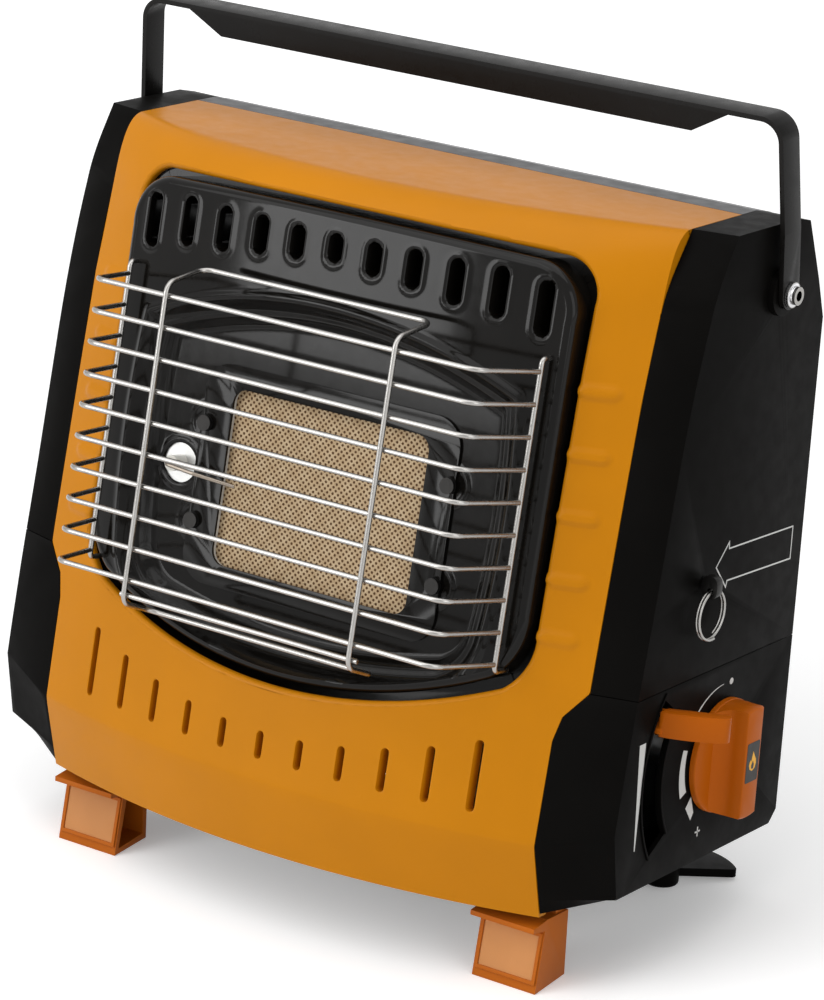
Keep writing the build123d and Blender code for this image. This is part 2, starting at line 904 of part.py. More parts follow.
box_front = bowl_floor + reflector_sheet
box_back = box_front + box_depth
mixer_x = -20.0
mixer_height = -14.0
port_radius = 7.0
with BuildPart() as burner_box:
    with BuildSketch(face_at(box_front + sheet)):
        add(
            rounded(
                plaque_width + 2 * box_margin, plaque_height + 2 * box_margin, 10, plaque_centre
            )
        )
        add(screw_holes(case_screw_radius), mode=Mode.SUBTRACT)
    extrude(amount=sheet)
    with BuildSketch(face_at(box_back)):
        add(rounded(cavity_width + 2 * sheet, cavity_height + 2 * sheet, 9, plaque_centre))
    extrude(amount=box_depth)
    with BuildSketch(face_at(box_back - sheet)):
        add(rounded(cavity_width, cavity_height, 8, plaque_centre))
    extrude(amount=box_depth, mode=Mode.SUBTRACT)
    with BuildSketch(face_at(box_back)):
        with Locations((mixer_x, mixer_height)):
            Circle(port_radius)
    extrude(amount=2 * sheet, mode=Mode.SUBTRACT)
keep("burner_box", burner_box)

screw_length = 7.0
with BuildPart() as burner_screws:
    with BuildSketch(face_at(bowl_floor - frame_sheet)):
        add(screw_holes(2 * case_screw_radius))
    extrude(amount=2)
    with BuildSketch(face_at(bowl_floor - frame_sheet)):
        add(screw_holes(case_screw_radius))
    extrude(amount=-screw_length)
keep("burner_screws", burner_screws)

mixer_depth = 90.0
mixer_radius = 10.0
mixer_start = -36.0
mixer_end = 92.0
mixer_centre = face_point(0, mixer_depth, mixer_height)
mixer_y = mixer_centre.Y
mixer_z = mixer_centre.Z
jet_radius = 3.0
with BuildPart() as mixer_tube:
    with BuildSketch(across(mixer_start)):
        with Locations((mixer_y, mixer_z)):
            Circle(mixer_radius)
    extrude(amount=mixer_end - mixer_start)
    with BuildSketch(face_at(box_back)):
        with Locations((mixer_x, mixer_height)):
            Circle(port_radius + sheet)
    extrude(amount=box_back - mixer_depth)
    with BuildSketch(across(mixer_start + sheet)):
        with Locations((mixer_y, mixer_z)):
            Circle(mixer_radius - sheet)
    extrude(amount=mixer_end - mixer_start - 2 * sheet, mode=Mode.SUBTRACT)
    with BuildSketch(face_at(box_back)):
        with Locations((mixer_x, mixer_height)):
            Circle(port_radius)
    extrude(amount=box_back - mixer_depth, mode=Mode.SUBTRACT)
    with BuildSketch(across(mixer_end)):
        with Locations((mixer_y, mixer_z)):
            Circle(jet_radius)
    extrude(amount=-2 * sheet, mode=Mode.SUBTRACT)
    with BuildSketch(Plane.XY.offset(mixer_z - 2 * mixer_radius)):
        with Locations((mixer_end - 8, mixer_y)):
            Circle(4)
    extrude(amount=4 * mixer_radius, mode=Mode.SUBTRACT)
keep("mixer_tube", mixer_tube)

with BuildPart() as gas_jet:
    with BuildSketch(across(mixer_end - 5)):
        with Locations((mixer_y, mixer_z)):
            Circle(jet_radius)
    extrude(amount=5)
    with BuildSketch(across(mixer_end)):
        with Locations((mixer_y, mixer_z)):
            RegularPolygon(6, 6)
    extrude(amount=6)
    with BuildSketch(across(mixer_end - 5)):
        with Locations((mixer_y, mixer_z)):
            Circle(0.6)
    extrude(amount=11, mode=Mode.SUBTRACT)
keep("gas_jet", gas_jet)

pipe_radius = 2.0
pipe_bend = 6.0
pipe_route = (
    (mixer_end + 6, mixer_y, mixer_z),
    (pipe_x, mixer_y, mixer_z),
    (pipe_x, axis_y, mixer_z - 12),
    (pipe_x, axis_y, axis_z + regulator_radius),
)
with BuildPart() as gas_pipe:
    with BuildLine():
        FilletPolyline(*pipe_route, radius=pipe_bend)
    with BuildSketch(across(mixer_end + 6)):
        with Locations((mixer_y, mixer_z)):
            Circle(pipe_radius)
    sweep()
keep("gas_pipe", gas_pipe)

# ======================================================================================
# Spark electrode, lead and igniter
# ======================================================================================

insulator_radius = 3.2
insulator_front = 38.0
insulator_back = 62.0
with BuildPart() as electrode_insulator:
    with BuildSketch(face_at(insulator_back)):
        with Locations((electrode_x, electrode_z)):
            Circle(insulator_radius)
    extrude(amount=insulator_back - insulator_front)
    with BuildSketch(face_at(insulator_back - 4)):
        with Locations((electrode_x, electrode_z)):
            Circle(insulator_radius + 1.5)
    extrude(amount=insulator_back - 4 - box_front - sheet)
keep("electrode_insulator", electrode_insulator)

with BuildPart() as electrode_clip:
    with BuildSketch(face_at(box_front + sheet)):
        with Locations((electrode_x - 2, electrode_z)):
            RectangleRounded(24, 22, 4)
        with Locations((electrode_x, electrode_z)):
            Circle(insulator_radius, mode=Mode.SUBTRACT)
        add(
            rounded(
                plaque_width + 2 * box_margin + 1, plaque_height + 2 * box_margin, 10,
                plaque_centre,
            ),
            mode=Mode.SUBTRACT,
        )
    extrude(amount=sheet)
keep("electrode_clip", electrode_clip)

spark_radius = 0.8
spark_end_x = -39.4
spark_end_z = -20.8
spark_gap = 5.0
with BuildPart() as electrode_wire:
    with BuildLine():
        FilletPolyline(
            face_point(electrode_x, insulator_front, electrode_z),
            face_point(electrode_x, insulator_front - 4, electrode_z),
            face_point(electrode_x + 14, insulator_front - 4, electrode_z - 1),
            face_point(spark_end_x, plaque_front - spark_gap, spark_end_z),
            radius=2.0,
        )
    with BuildSketch(face_at(insulator_front)):
        with Locations((electrode_x, electrode_z)):
            Circle(spark_radius)
    sweep()
keep("electrode_wire", electrode_wire)

igniter_x = 128.0
igniter_z = axis_z + 20.0
igniter_radius = 6.0
flange_half_width = 25.0
flange_start = regulator_end
flange_sheet = 2.0
with BuildPart() as piezo_igniter:
    with BuildSketch(across(flange_start + flange_sheet)):
        with Locations((axis_y, igniter_z)):
            Circle(igniter_radius)
    extrude(amount=18)
    with BuildSketch(Plane.XY.offset(igniter_z)):
        with Locations((igniter_x, axis_y)):
            Circle(3)
    extrude(amount=igniter_radius + 2)
keep("piezo_igniter", piezo_igniter)

lead_radius = 1.3
lead_bend = 9.0
lead_level = 96.0
lead_y = -79.0
lead_start = face_point(electrode_x, insulator_back, electrode_z)
lead_out = face_point(electrode_x, insulator_back + 16, electrode_z)
lead_route = (
    lead_start,
    lead_out,
    (electrode_x, lead_y + 2, lead_level),
    (pipe_x - 25, lead_y, lead_level),
    (igniter_x, axis_y, lead_level),
    (igniter_x, axis_y, igniter_z + igniter_radius + 2),
)
with BuildPart() as ignition_lead:
    with BuildLine():
        FilletPolyline(*lead_route, radius=lead_bend)
    with BuildSketch(face_at(insulator_back)):
        with Locations((electrode_x, electrode_z)):
            Circle(lead_radius)
    sweep()
keep("ignition_lead", ignition_lead)

# ======================================================================================
# Guard
# ======================================================================================

with BuildPart() as guard_rows:
    for level in row_levels:
        with BuildLine():
            FilletPolyline(
                face_point(-guard_side_half, guard_depth, level),
                face_point(-guard_front_half, 0, level),
                face_point(guard_front_half, 0, level),
                face_point(guard_side_half, guard_depth, level),
                radius=guard_bend,
            )
        start = Plane(
            origin=face_point(-guard_side_half, guard_depth, level),
            z_dir=face_point(-guard_front_half, 0, level)
            - face_point(-guard_side_half, guard_depth, level),
        )
        with BuildSketch(start):
            Circle(wire / 2)
        sweep()
keep("guard_rows", guard_rows)

upright_depth = guard_depth + wire / 2 - 0.3
hook_depth = reflector_front + guard_side_half**2 / (2 * reflector_bow_radius) + 4
with BuildPart() as guard_uprights:
    for side in (-1, 1):
        x = side * guard_side_half
        with BuildLine():
            FilletPolyline(
                face_point(x, hook_depth, upright_top),
                face_point(x, upright_depth, upright_top),
                face_point(x, upright_depth, upright_low),
                face_point(x, hook_depth, upright_low),
                radius=2.2,
            )
        with BuildSketch(face_at(hook_depth)):
            with Locations((x, upright_top)):
                Circle(wire / 2)
        sweep()
keep("guard_uprights", guard_uprights)

frame_top = 64.2
frame_low = -72.5
frame_route = [
    face_point(side * guard_frame_half, depth, height)
    for side, depth, height in (
        (1, 21, frame_top),
        (1, -guard_frame_front, guard_top_row + 5),
        (1, -guard_frame_front, row_levels[-1] - 9),
        (1, 17, frame_low),
        (-1, 17, frame_low),
        (-1, -guard_frame_front, row_levels[-1] - 9),
        (-1, -guard_frame_front, guard_top_row + 5),
        (-1, 21, frame_top),
    )
]
with BuildPart() as guard_front_frame:
    with BuildLine():
        loop = FilletPolyline(*frame_route, radius=5, close=True)
    with BuildSketch(Plane(origin=loop @ 0, z_dir=loop % 0)):
        Circle(wire / 2)
    sweep()
keep("guard_front_frame", guard_front_frame)

# ======================================================================================
# Regulator, knob and lever
# ======================================================================================

neck_end = case_half - 0.5
with BuildPart() as regulator_body:
    with BuildSketch(across(regulator_start)):
        with Locations(axis_plane_z):
            Circle(regulator_radius)
    extrude(amount=regulator_end - regulator_start)
    with BuildSketch(across(flange_start)):
        with Locations((axis_y, (tray_sheet + axis_z + 28) / 2)):
            Rectangle(2 * flange_half_width, axis_z + 28 - tray_sheet)
    extrude(amount=flange_sheet)
    with BuildSketch(across(flange_start)):
        with Locations(axis_plane_z):
            Circle(neck_radius)
    extrude(amount=neck_end - flange_start)
    with BuildSketch(Plane.XY.offset(tray_sheet)):
        with Locations((flange_start + flange_sheet - 11, axis_y)):
            Rectangle(22, 40)
    extrude(amount=flange_sheet)
    with BuildSketch(across(regulator_start)):
        with Locations(axis_plane_z):
            Circle(socket_radius)
    extrude(amount=socket_depth, mode=Mode.SUBTRACT)
    with BuildSketch(across(flange_start - 12)):
        with Locations(axis_plane_z):
            Circle(stem_radius + running)
    extrude(amount=neck_end - flange_start + 12, mode=Mode.SUBTRACT)
keep("regulator_body", regulator_body)

disc_start = case_half + knob_gap
disc_end = disc_start + knob_disc
grip_end = disc_end + grip_rise
stem_end = grip_end - 6
with BuildPart() as valve_stem:
    with BuildSketch(across(flange_start - 11)):
        with Locations(axis_plane_z):
            Circle(stem_radius)
    extrude(amount=stem_end - flange_start + 11)
keep("valve_stem", valve_stem)

with BuildPart() as control_knob:
    with BuildSketch(across(disc_start)):
        with Locations(axis_plane_z):
            Circle(knob_radius)
    extrude(amount=knob_disc)
    with BuildSketch(across(disc_end)):
        with Locations(axis_plane_z):
            RectangleRounded(grip_width, 2 * knob_radius, 3)
    extrude(amount=grip_rise)
    with BuildSketch(across(disc_start)):
        with Locations(axis_plane_z):
            Circle(stem_radius)
    extrude(amount=stem_end - disc_start, mode=Mode.SUBTRACT)
keep("control_knob", control_knob)

arm_middle = (lever_inner + lever_outer) / 2
paddle_start = case_half + 0.8
root_angle = radians(lever_rest)
paddle_y = axis_y + arm_middle * cos(root_angle)
paddle_z = axis_z + arm_middle * sin(root_angle)
with BuildPart() as lock_lever:
    with BuildSketch(across(lever_plate_start)):
        with Locations(axis_plane_z):
            add(
                ring_sector(
                    neck_radius + 2, lever_outer, lever_rest - lever_spread,
                    lever_rest + lever_spread,
                )
            )
            Circle(lever_hub)
            Circle(neck_radius + running, mode=Mode.SUBTRACT)
    extrude(amount=lever_plate)
    with BuildSketch(across(lever_plate_start)):
        with Locations(axis_plane_z):
            add(
                ring_sector(
                    lever_inner, lever_outer, lever_rest - lever_spread,
                    lever_rest + lever_spread,
                )
            )
    extrude(amount=paddle_start + 1 - lever_plate_start)
    with BuildSketch(Plane.XY.offset(paddle_z - paddle_height / 2)):
        with BuildLine():
            outer_edge = ThreePointArc(
                (paddle_start, paddle_y - paddle_thickness / 2 - 1),
                (paddle_start + paddle_reach / 2, paddle_y + 1),
                (paddle_start + paddle_reach, paddle_y + paddle_shift - paddle_thickness / 2),
            )
            tip = ThreePointArc(
                outer_edge @ 1,
                (paddle_start + paddle_reach + 1, paddle_y + paddle_shift + 1),
                (paddle_start + paddle_reach - 1, paddle_y + paddle_shift + 3),
            )
            Polyline(
                tip @ 1,
                (paddle_start, paddle_y + paddle_thickness / 2 + 1),
                outer_edge @ 0,
            )
        make_face()
    extrude(amount=paddle_height)
keep("lock_lever", lock_lever)

pusher_clearance = 5.0
pusher_start = regulator_start - cartridge_length - pusher_travel - pusher_clearance
pusher_plate = 2.5
pusher_rod_y = -94.0
pusher_rod_z = 14.0
pusher_rod_radius = 2.0
pusher_rod_end = lever_plate_start - 16
guide_x = 60.0
guide_length = 8.0
guide_width = 12.0
guide_top = pusher_rod_z + 6
with BuildPart() as cartridge_pusher:
    with BuildSketch(across(pusher_start)):
        with Locations(axis_plane_z):
            Circle(18)
        with BuildLine():
            Polyline(
                (axis_y - 10, axis_z + 8), (pusher_rod_y - 4, pusher_rod_z + 4),
                (pusher_rod_y - 4, pusher_rod_z - 4), (pusher_rod_y + 4, pusher_rod_z - 4),
                (axis_y, axis_z - 16), close=True,
            )
        make_face()
    extrude(amount=pusher_plate)
    with BuildSketch(across(pusher_start)):
        with Locations((pusher_rod_y, pusher_rod_z)):
            Circle(pusher_rod_radius)
    extrude(amount=pusher_rod_end - pusher_start)
keep("cartridge_pusher", cartridge_pusher)

with BuildPart() as pusher_guides:
    for x in (-guide_x, guide_x):
        with BuildSketch(across(x)):
            with Locations((pusher_rod_y, (tray_sheet + guide_top) / 2)):
                Rectangle(guide_width, guide_top - tray_sheet)
            with Locations((pusher_rod_y, pusher_rod_z)):
                Circle(pusher_rod_radius + running, mode=Mode.SUBTRACT)
        extrude(amount=guide_length)
keep("pusher_guides", pusher_guides)

# ======================================================================================
# Pull rod and ring
# ======================================================================================

bush_start = case_half - wall - 4
with BuildPart() as rod_bush:
    with BuildSketch(across(bush_start)):
        with Locations((pull_y, pull_z)):
            Circle(pull_rod_radius + 4)
    extrude(amount=case_half - wall - bush_start)
    with BuildSketch(across(bush_start)):
        with Locations((pull_y, pull_z)):
            Circle(pull_rod_radius + 2)
    extrude(amount=case_half - bush_start)
    with BuildSketch(across(bush_start)):
        with Locations((pull_y, pull_z)):
            Circle(pull_rod_radius + running)
    extrude(amount=case_half + 1 - bush_start, mode=Mode.SUBTRACT)
keep("rod_bush", rod_bush)

spring_wire = 0.4
spring_turns = 7
spring_radius = 3.0
spring_spare = 0.9
spring_length = pull_travel + 2 * spring_wire * spring_turns + spring_spare
collar_gap = 0.4
collar_length = 1.6
rod_stop_x = bush_start - spring_length - collar_gap - collar_length
half_turn_rise = (spring_length - 2 * spring_wire) / (2 * spring_turns)
half_turn_radius = hypot(spring_radius, half_turn_rise / 2)


def coil_point(number):
    """End of one half turn of the spring, alternately above and below the rod."""
    side = (-1) ** number
    x = bush_start - spring_length + spring_wire + number * half_turn_rise
    return (x, pull_y, pull_z + side * spring_radius)


with BuildPart() as rod_spring:
    with BuildLine():
        for number in range(2 * spring_turns):
            (start_x, _, _), (stop_x, _, _) = coil_point(number), coil_point(number + 1)
            bulge = (-1) ** number * half_turn_radius
            middle = ((start_x + stop_x) / 2, pull_y + bulge, pull_z)
            ThreePointArc(coil_point(number), middle, coil_point(number + 1))
    with BuildSketch(Plane(origin=coil_point(0), z_dir=(0, 1, 0))):
        Circle(spring_wire)
    sweep()
keep("rod_spring", rod_spring)

eye_start = case_half + 0.6
eye_depth = 7.0
eye_hole = ring_wire + 0.6
ring_x = eye_start + eye_depth / 2 + 0.5
ring_top = pull_z - 1.5
ring_z = ring_top - ring_radius
with BuildPart() as pull_rod:
    with BuildSketch(across(rod_stop_x)):
        with Locations((pull_y, pull_z)):
            Circle(pull_rod_radius)
    extrude(amount=eye_start + 1 - rod_stop_x)
    with BuildSketch(across(rod_stop_x)):
        with Locations((pull_y, pull_z)):
            Circle(spring_radius + 1.5)
    extrude(amount=collar_length)
    with BuildSketch(Plane.XZ.offset(-pull_y - eye_width / 2)):
        with Locations((eye_start + eye_depth / 2, pull_z)):
            RectangleRounded(eye_depth, 9, 3)
        with Locations((ring_x, ring_top)):
            Circle(eye_hole, mode=Mode.SUBTRACT)
    extrude(amount=eye_width)
keep("pull_rod", pull_rod)

with BuildPart() as pull_ring:
    with BuildSketch(Plane(origin=(ring_x, pull_y, ring_z), x_dir=(0, 0, 1), z_dir=(0, -1, 0))):
        with Locations((ring_radius, 0)):
            Circle(ring_wire)
    revolve(axis=Axis((ring_x, pull_y, ring_z), (1, 0, 0)))
keep("pull_ring", pull_ring)

# ======================================================================================
# Handle
# ======================================================================================

strap_inner = case_half + boss_height + free_gap
strap_middle = strap_inner + strap_thickness / 2
top_middle = strap_middle - 2.5
lean_back = radians(case_lean)
handle_plane = Plane(
    origin=(0, pivot_y, pivot_z), x_dir=(1, 0, 0), z_dir=(0, -cos(lean_back), -sin(lean_back))
)


def handle_section(shift):
    """Plane of the handle, moved towards the front by `shift`."""
    return handle_plane.offset(shift)


with BuildPart() as handle_bail:
    with BuildSketch(handle_section(-strap_width / 2)):
        with BuildLine():
            route = FilletPolyline(
                (strap_middle, 0),
                (strap_middle, 25),
                (top_middle, handle_rise),
                (-top_middle, handle_rise),
                (-strap_middle, 25),
                (-strap_middle, 0),
                radius=handle_bend,
            )
            offset(route, amount=strap_thickness / 2, side=Side.BOTH)
        make_face()
    extrude(amount=strap_width)
    for side in (-1, 1):
        with BuildSketch(across(side * strap_inner)):
            with Locations((pivot_y, pivot_z)):
                Circle(strap_width / 2)
        extrude(amount=side * strap_thickness)
    with BuildSketch(handle_section(-strap_width / 2)):
        with BuildLine():
            bar_top = handle_rise + strap_thickness / 2
            skirt = bar_top - handle_bar_height
            Polyline(
                (-handle_bar_half - 16, bar_top - strap_thickness),
                (-handle_bar_half, skirt),
                (handle_bar_half, skirt),
                (handle_bar_half + 16, bar_top - strap_thickness),
                close=True,
            )
        make_face()
    extrude(amount=1.5)
    with BuildSketch(handle_section(strap_width / 2 - 1.5)):
        with BuildLine():
            Polyline(
                (-handle_bar_half - 16, bar_top - strap_thickness),
                (-handle_bar_half, skirt),
                (handle_bar_half, skirt),
                (handle_bar_half + 16, bar_top - strap_thickness),
                close=True,
            )
        make_face()
    extrude(amount=1.5)
    with BuildSketch(across(-2 * case_half)):
        with Locations((pivot_y, pivot_z)):
            Circle(screw_radius + running)
    extrude(amount=4 * case_half, mode=Mode.SUBTRACT)
keep("handle_bail", handle_bail)

head_start = strap_inner + strap_thickness + 0.2
nut_length = 4.0
with BuildPart() as handle_screws:
    for side in (-1, 1):
        with BuildSketch(across(side * (case_half - wall - nut_length - 2))):
            with Locations((pivot_y, pivot_z)):
                Circle(screw_radius)
        extrude(amount=side * (head_start - case_half + wall + nut_length + 2))
        with BuildSketch(across(side * head_start)):
            with Locations((pivot_y, pivot_z)):
                Circle(screw_head_radius)
        extrude(amount=side * 1.2)
        with BuildSketch(across(side * (head_start + 1.2))):
            with Locations((pivot_y, pivot_z)):
                Circle(screw_head_radius - 1.4)
        extrude(amount=side * 2.2)
keep("handle_screws", handle_screws)

with BuildPart() as handle_nuts:
    for side in (-1, 1):
        with BuildSketch(across(side * (case_half - wall))):
            with Locations((pivot_y, pivot_z)):
                RegularPolygon(4.6, 6)
                Circle(screw_radius, mode=Mode.SUBTRACT)
        extrude(amount=-side * nut_length)
keep("handle_nuts", handle_nuts)

# ======================================================================================
# Case screws
# ======================================================================================

with BuildPart() as case_screws:
    for side in (-1, 1):
        for level in (*lower_screw_levels, *upper_screw_levels):
            with BuildSketch(Plane.XZ.offset(-2)):
                with Locations((side * case_screw_x, level)):
                    Circle(3)
            extrude(amount=2)
            with BuildSketch(Plane.XZ):
                with Locations((side * case_screw_x, level)):
                    Circle(case_screw_radius)
            extrude(amount=screw_arm)
keep("case_screws", case_screws)

# ======================================================================================
# Feet
# ======================================================================================


def front_foot(side):
    """Folding front foot: a hollow block with two hinge lugs and a finger tab."""
    first = foot_inner if side > 0 else -foot_outer
    width = foot_outer - foot_inner
    rear_top = (foot_rear_bottom - 0.8, foot_shoulder)
    front_top = (foot_front_bottom + 4.7, foot_shoulder)
    with BuildPart() as foot:
        with BuildSketch(across(first)):
            with BuildLine():
                Polyline(
                    front_top,
                    (foot_front_bottom, floor_z(foot_front_bottom)),
                    (foot_rear_bottom, floor_z(foot_rear_bottom)),
                    rear_top,
                    close=True,
                )
            make_face()
        extrude(amount=width)
        hollow = first if side > 0 else first + foot_wall
        with BuildSketch(across(hollow - 1 if side > 0 else hollow)):
            with BuildLine():
                Polyline(
                    (front_top[0] + foot_wall, foot_shoulder - foot_wall),
                    (
                        foot_front_bottom + foot_wall,
                        floor_z(foot_front_bottom) + foot_wall,
                    ),
                    (
                        foot_rear_bottom - foot_wall,
                        floor_z(foot_rear_bottom) + foot_wall,
                    ),
                    (rear_top[0] - foot_wall, foot_shoulder - foot_wall),
                    close=True,
                )
            make_face()
        extrude(amount=width - foot_wall + 1, mode=Mode.SUBTRACT)
        lug_starts = (foot_inner + 1, foot_outer - 1 - foot_lug)
        for lug in lug_starts:
            start = lug if side > 0 else -lug - foot_lug
            with BuildSketch(across(start)):
                with Locations((foot_pin_y, foot_pin_z)):
                    Circle(foot_lug_radius)
                with Locations((foot_pin_y, (foot_pin_z + foot_shoulder) / 2)):
                    Rectangle(2 * foot_lug_radius, foot_pin_z - foot_shoulder)
                with Locations((foot_pin_y, foot_pin_z)):
                    Circle(foot_pin_radius + running, mode=Mode.SUBTRACT)
            extrude(amount=foot_lug)
        with BuildSketch(across(first)):
            with BuildLine():
                Polyline(
                    (front_top[0] + 1, foot_shoulder),
                    (front_top[0] - foot_tab_reach, foot_shoulder - 1.5),
                    (front_top[0] - foot_tab_reach, foot_shoulder - 3.5),
                    (front_top[0], foot_shoulder - 4.5),
                    (front_top[0] + 1, foot_shoulder - 4.5),
                    close=True,
                )
            make_face()
        extrude(amount=width)
    return foot.part


with BuildPart() as front_foot_left:
    add(front_foot(-1))
keep("front_foot_left", front_foot_left)

with BuildPart() as front_foot_right:
    add(front_foot(1))
keep("front_foot_right", front_foot_right)

with BuildPart() as foot_pins:
    for side in (-1, 1):
        start = foot_inner + 1 if side > 0 else -foot_outer + 1
        with BuildSketch(across(start)):
            with Locations((foot_pin_y, foot_pin_z)):
                Circle(foot_pin_radius)
        extrude(amount=foot_outer - foot_inner - 2)
keep("foot_pins", foot_pins)

boss_round = 1.5
boss_contact = rear_foot_y + rear_foot_radius - boss_round
boss_bottom = floor_z(boss_contact) + boss_round / cos(lean_back) - boss_round
fan_bottom = floor_z(rear_foot_y + fan_radius * sin(radians(75)))
foot_bolt_head = 4.2


def rear_foot(side):
    """Swivelling rear foot: a round boss with a fan-shaped stabiliser plate."""
    with BuildPart() as foot:
        with BuildSketch(Plane.XY.offset(boss_bottom)):
            with Locations((side * rear_foot_x, rear_foot_y)):
                Circle(rear_foot_radius)
        extrude(amount=-boss_bottom - free_gap)
        fillet(foot.faces().sort_by(Axis.Z)[0].edges(), radius=boss_round)
        with BuildSketch(Plane.XY.offset(fan_bottom)):
            with Locations((side * rear_foot_x, rear_foot_y)):
                add(fan_shape(side))
        extrude(amount=fan_thickness)
        with BuildSketch(Plane.XY.offset(boss_bottom)):
            with Locations((side * rear_foot_x, rear_foot_y)):
                Circle(foot_bolt_head + free_gap)
        extrude(amount=7, mode=Mode.SUBTRACT)
        with BuildSketch(Plane.XY.offset(boss_bottom)):
            with Locations((side * rear_foot_x, rear_foot_y)):
                Circle(screw_radius + running)
        extrude(amount=-boss_bottom + 1, mode=Mode.SUBTRACT)
    return foot.part


def fan_shape(side):
    """Fan that opens to the back and outwards from the boss."""
    turns = [radians(angle) for angle in (fan_from, (fan_from + fan_to) / 2, fan_to)]
    rim = [(side * fan_radius * cos(turn), fan_radius * sin(turn)) for turn in turns]
    with BuildSketch() as fan:
        with BuildLine():
            edge = ThreePointArc(*rim)
            Polyline(edge @ 0, (0, 0), edge @ 1)
        make_face()
        fillet(fan.vertices().group_by(SortBy.DISTANCE)[-1], radius=2)
    return fan.sketch_local


with BuildPart() as rear_foot_left:
    add(rear_foot(-1))
keep("rear_foot_left", rear_foot_left)

with BuildPart() as rear_foot_right:
    add(rear_foot(1))
keep("rear_foot_right", rear_foot_right)

bolt_head_top = boss_bottom + 7 - 0.3
with BuildPart() as rear_foot_bolts:
    for side in (-1, 1):
        spot = (side * rear_foot_x, rear_foot_y)
        with BuildSketch(Plane.XY.offset(bolt_head_top - 3)):
            with Locations(spot):
                Circle(foot_bolt_head)
        extrude(amount=3)
        with BuildSketch(Plane.XY.offset(bolt_head_top)):
            with Locations(spot):
                Circle(screw_radius)
        extrude(amount=-bolt_head_top + tray_sheet + nut_length + 1)
        with BuildSketch(Plane.XY.offset(tray_sheet)):
            with Locations(spot):
                RegularPolygon(4.6, 6)
        extrude(amount=nut_length)
keep("rear_foot_bolts", rear_foot_bolts)

# ======================================================================================
# Stand every piece on the feet, with the origin in the middle of the footprint
# ======================================================================================

leaned = Rot(-case_lean, 0, 0)
whole = Compound(children=[leaned * piece for piece in pieces.values()])
box = whole.bounding_box()
standing = Pos(-box.center().X, -box.center().Y, -box.min.Z) * leaned

os.makedirs("parts", exist_ok=True)
for name, piece in pieces.items():
    piece.location = standing * piece.location
    piece.label = name
    export_step(piece, f"parts/{name}.step")
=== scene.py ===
"""Looks of a portable propane heater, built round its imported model."""

import logging
from dataclasses import dataclass, field
from enum import Enum
from math import asin, atan2, cos, hypot, inf, pi, radians, sin, sqrt, tan
from typing import Callable, Protocol, Sequence

import bmesh
import bpy
from mathutils import Matrix, Vector, geometry
from mathutils.kdtree import KDTree


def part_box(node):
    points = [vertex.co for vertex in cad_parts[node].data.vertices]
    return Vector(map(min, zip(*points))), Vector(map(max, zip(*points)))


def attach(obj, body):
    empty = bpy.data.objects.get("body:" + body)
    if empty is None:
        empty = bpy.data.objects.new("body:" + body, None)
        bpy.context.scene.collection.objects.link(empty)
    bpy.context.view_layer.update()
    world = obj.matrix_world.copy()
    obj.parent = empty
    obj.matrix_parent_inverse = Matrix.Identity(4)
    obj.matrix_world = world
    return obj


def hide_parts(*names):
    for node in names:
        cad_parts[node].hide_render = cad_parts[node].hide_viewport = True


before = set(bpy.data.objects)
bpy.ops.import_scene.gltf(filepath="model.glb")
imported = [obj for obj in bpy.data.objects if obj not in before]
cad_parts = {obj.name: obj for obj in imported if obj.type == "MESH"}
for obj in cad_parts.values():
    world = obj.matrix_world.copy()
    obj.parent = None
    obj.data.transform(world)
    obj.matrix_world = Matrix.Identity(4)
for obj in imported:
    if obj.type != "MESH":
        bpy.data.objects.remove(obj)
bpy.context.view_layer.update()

log = logging.getLogger("heater")

MM = 0.001
CASE_LEAN = radians(6.75)
FACE_LEAN = radians(8.25)
FACE_START = (0.0, -160.0, 149.3)
FACE_ORIGIN = Vector(FACE_START)
RING_CENTRE = Vector((153.6, -75.0, 105.3))
SIDES = ((-1, "left"), (1, "right"))

Point = tuple[float, float]
Colour = tuple[float, float, float]


def case_frame() -> Matrix:
    """Find where the upright case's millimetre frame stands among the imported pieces.

    Returns:
        Matrix from the upright case in millimetres to the row frame in metres.
    """
    low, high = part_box("pull_ring")
    turn = Matrix.Rotation(-CASE_LEAN, 4, "X") @ Matrix.Scale(MM, 4)
    return Matrix.Translation((low + high) / 2 - turn @ RING_CENTRE) @ turn


CASE = case_frame()
FACE = CASE @ Matrix.Translation(FACE_ORIGIN) @ Matrix.Rotation(-FACE_LEAN, 4, "X")


# ---------------------------------------------------------------------------------------
# Finishes
# ---------------------------------------------------------------------------------------


class Texture(Enum):
    """Surface character of a finish."""

    ORANGE_PEEL = "sprayed paint with a fine peel"
    MOULDED = "moulded plastic with a fine grain"
    ENAMEL = "fired enamel with slow waves"
    BRUSHED = "drawn or brushed metal"
    CAST = "as-cast metal"
    FIRED = "unglazed ceramic"


OCTAVES = {
    Texture.ORANGE_PEEL: 2.0, Texture.MOULDED: 3.0, Texture.ENAMEL: 1.0,
    Texture.BRUSHED: 6.0, Texture.CAST: 5.0, Texture.FIRED: 4.0,
}


class Dressing(Protocol):
    """Anything that can make the material of a finish."""

    def material(self) -> bpy.types.Material:
        """Build the material."""
        ...


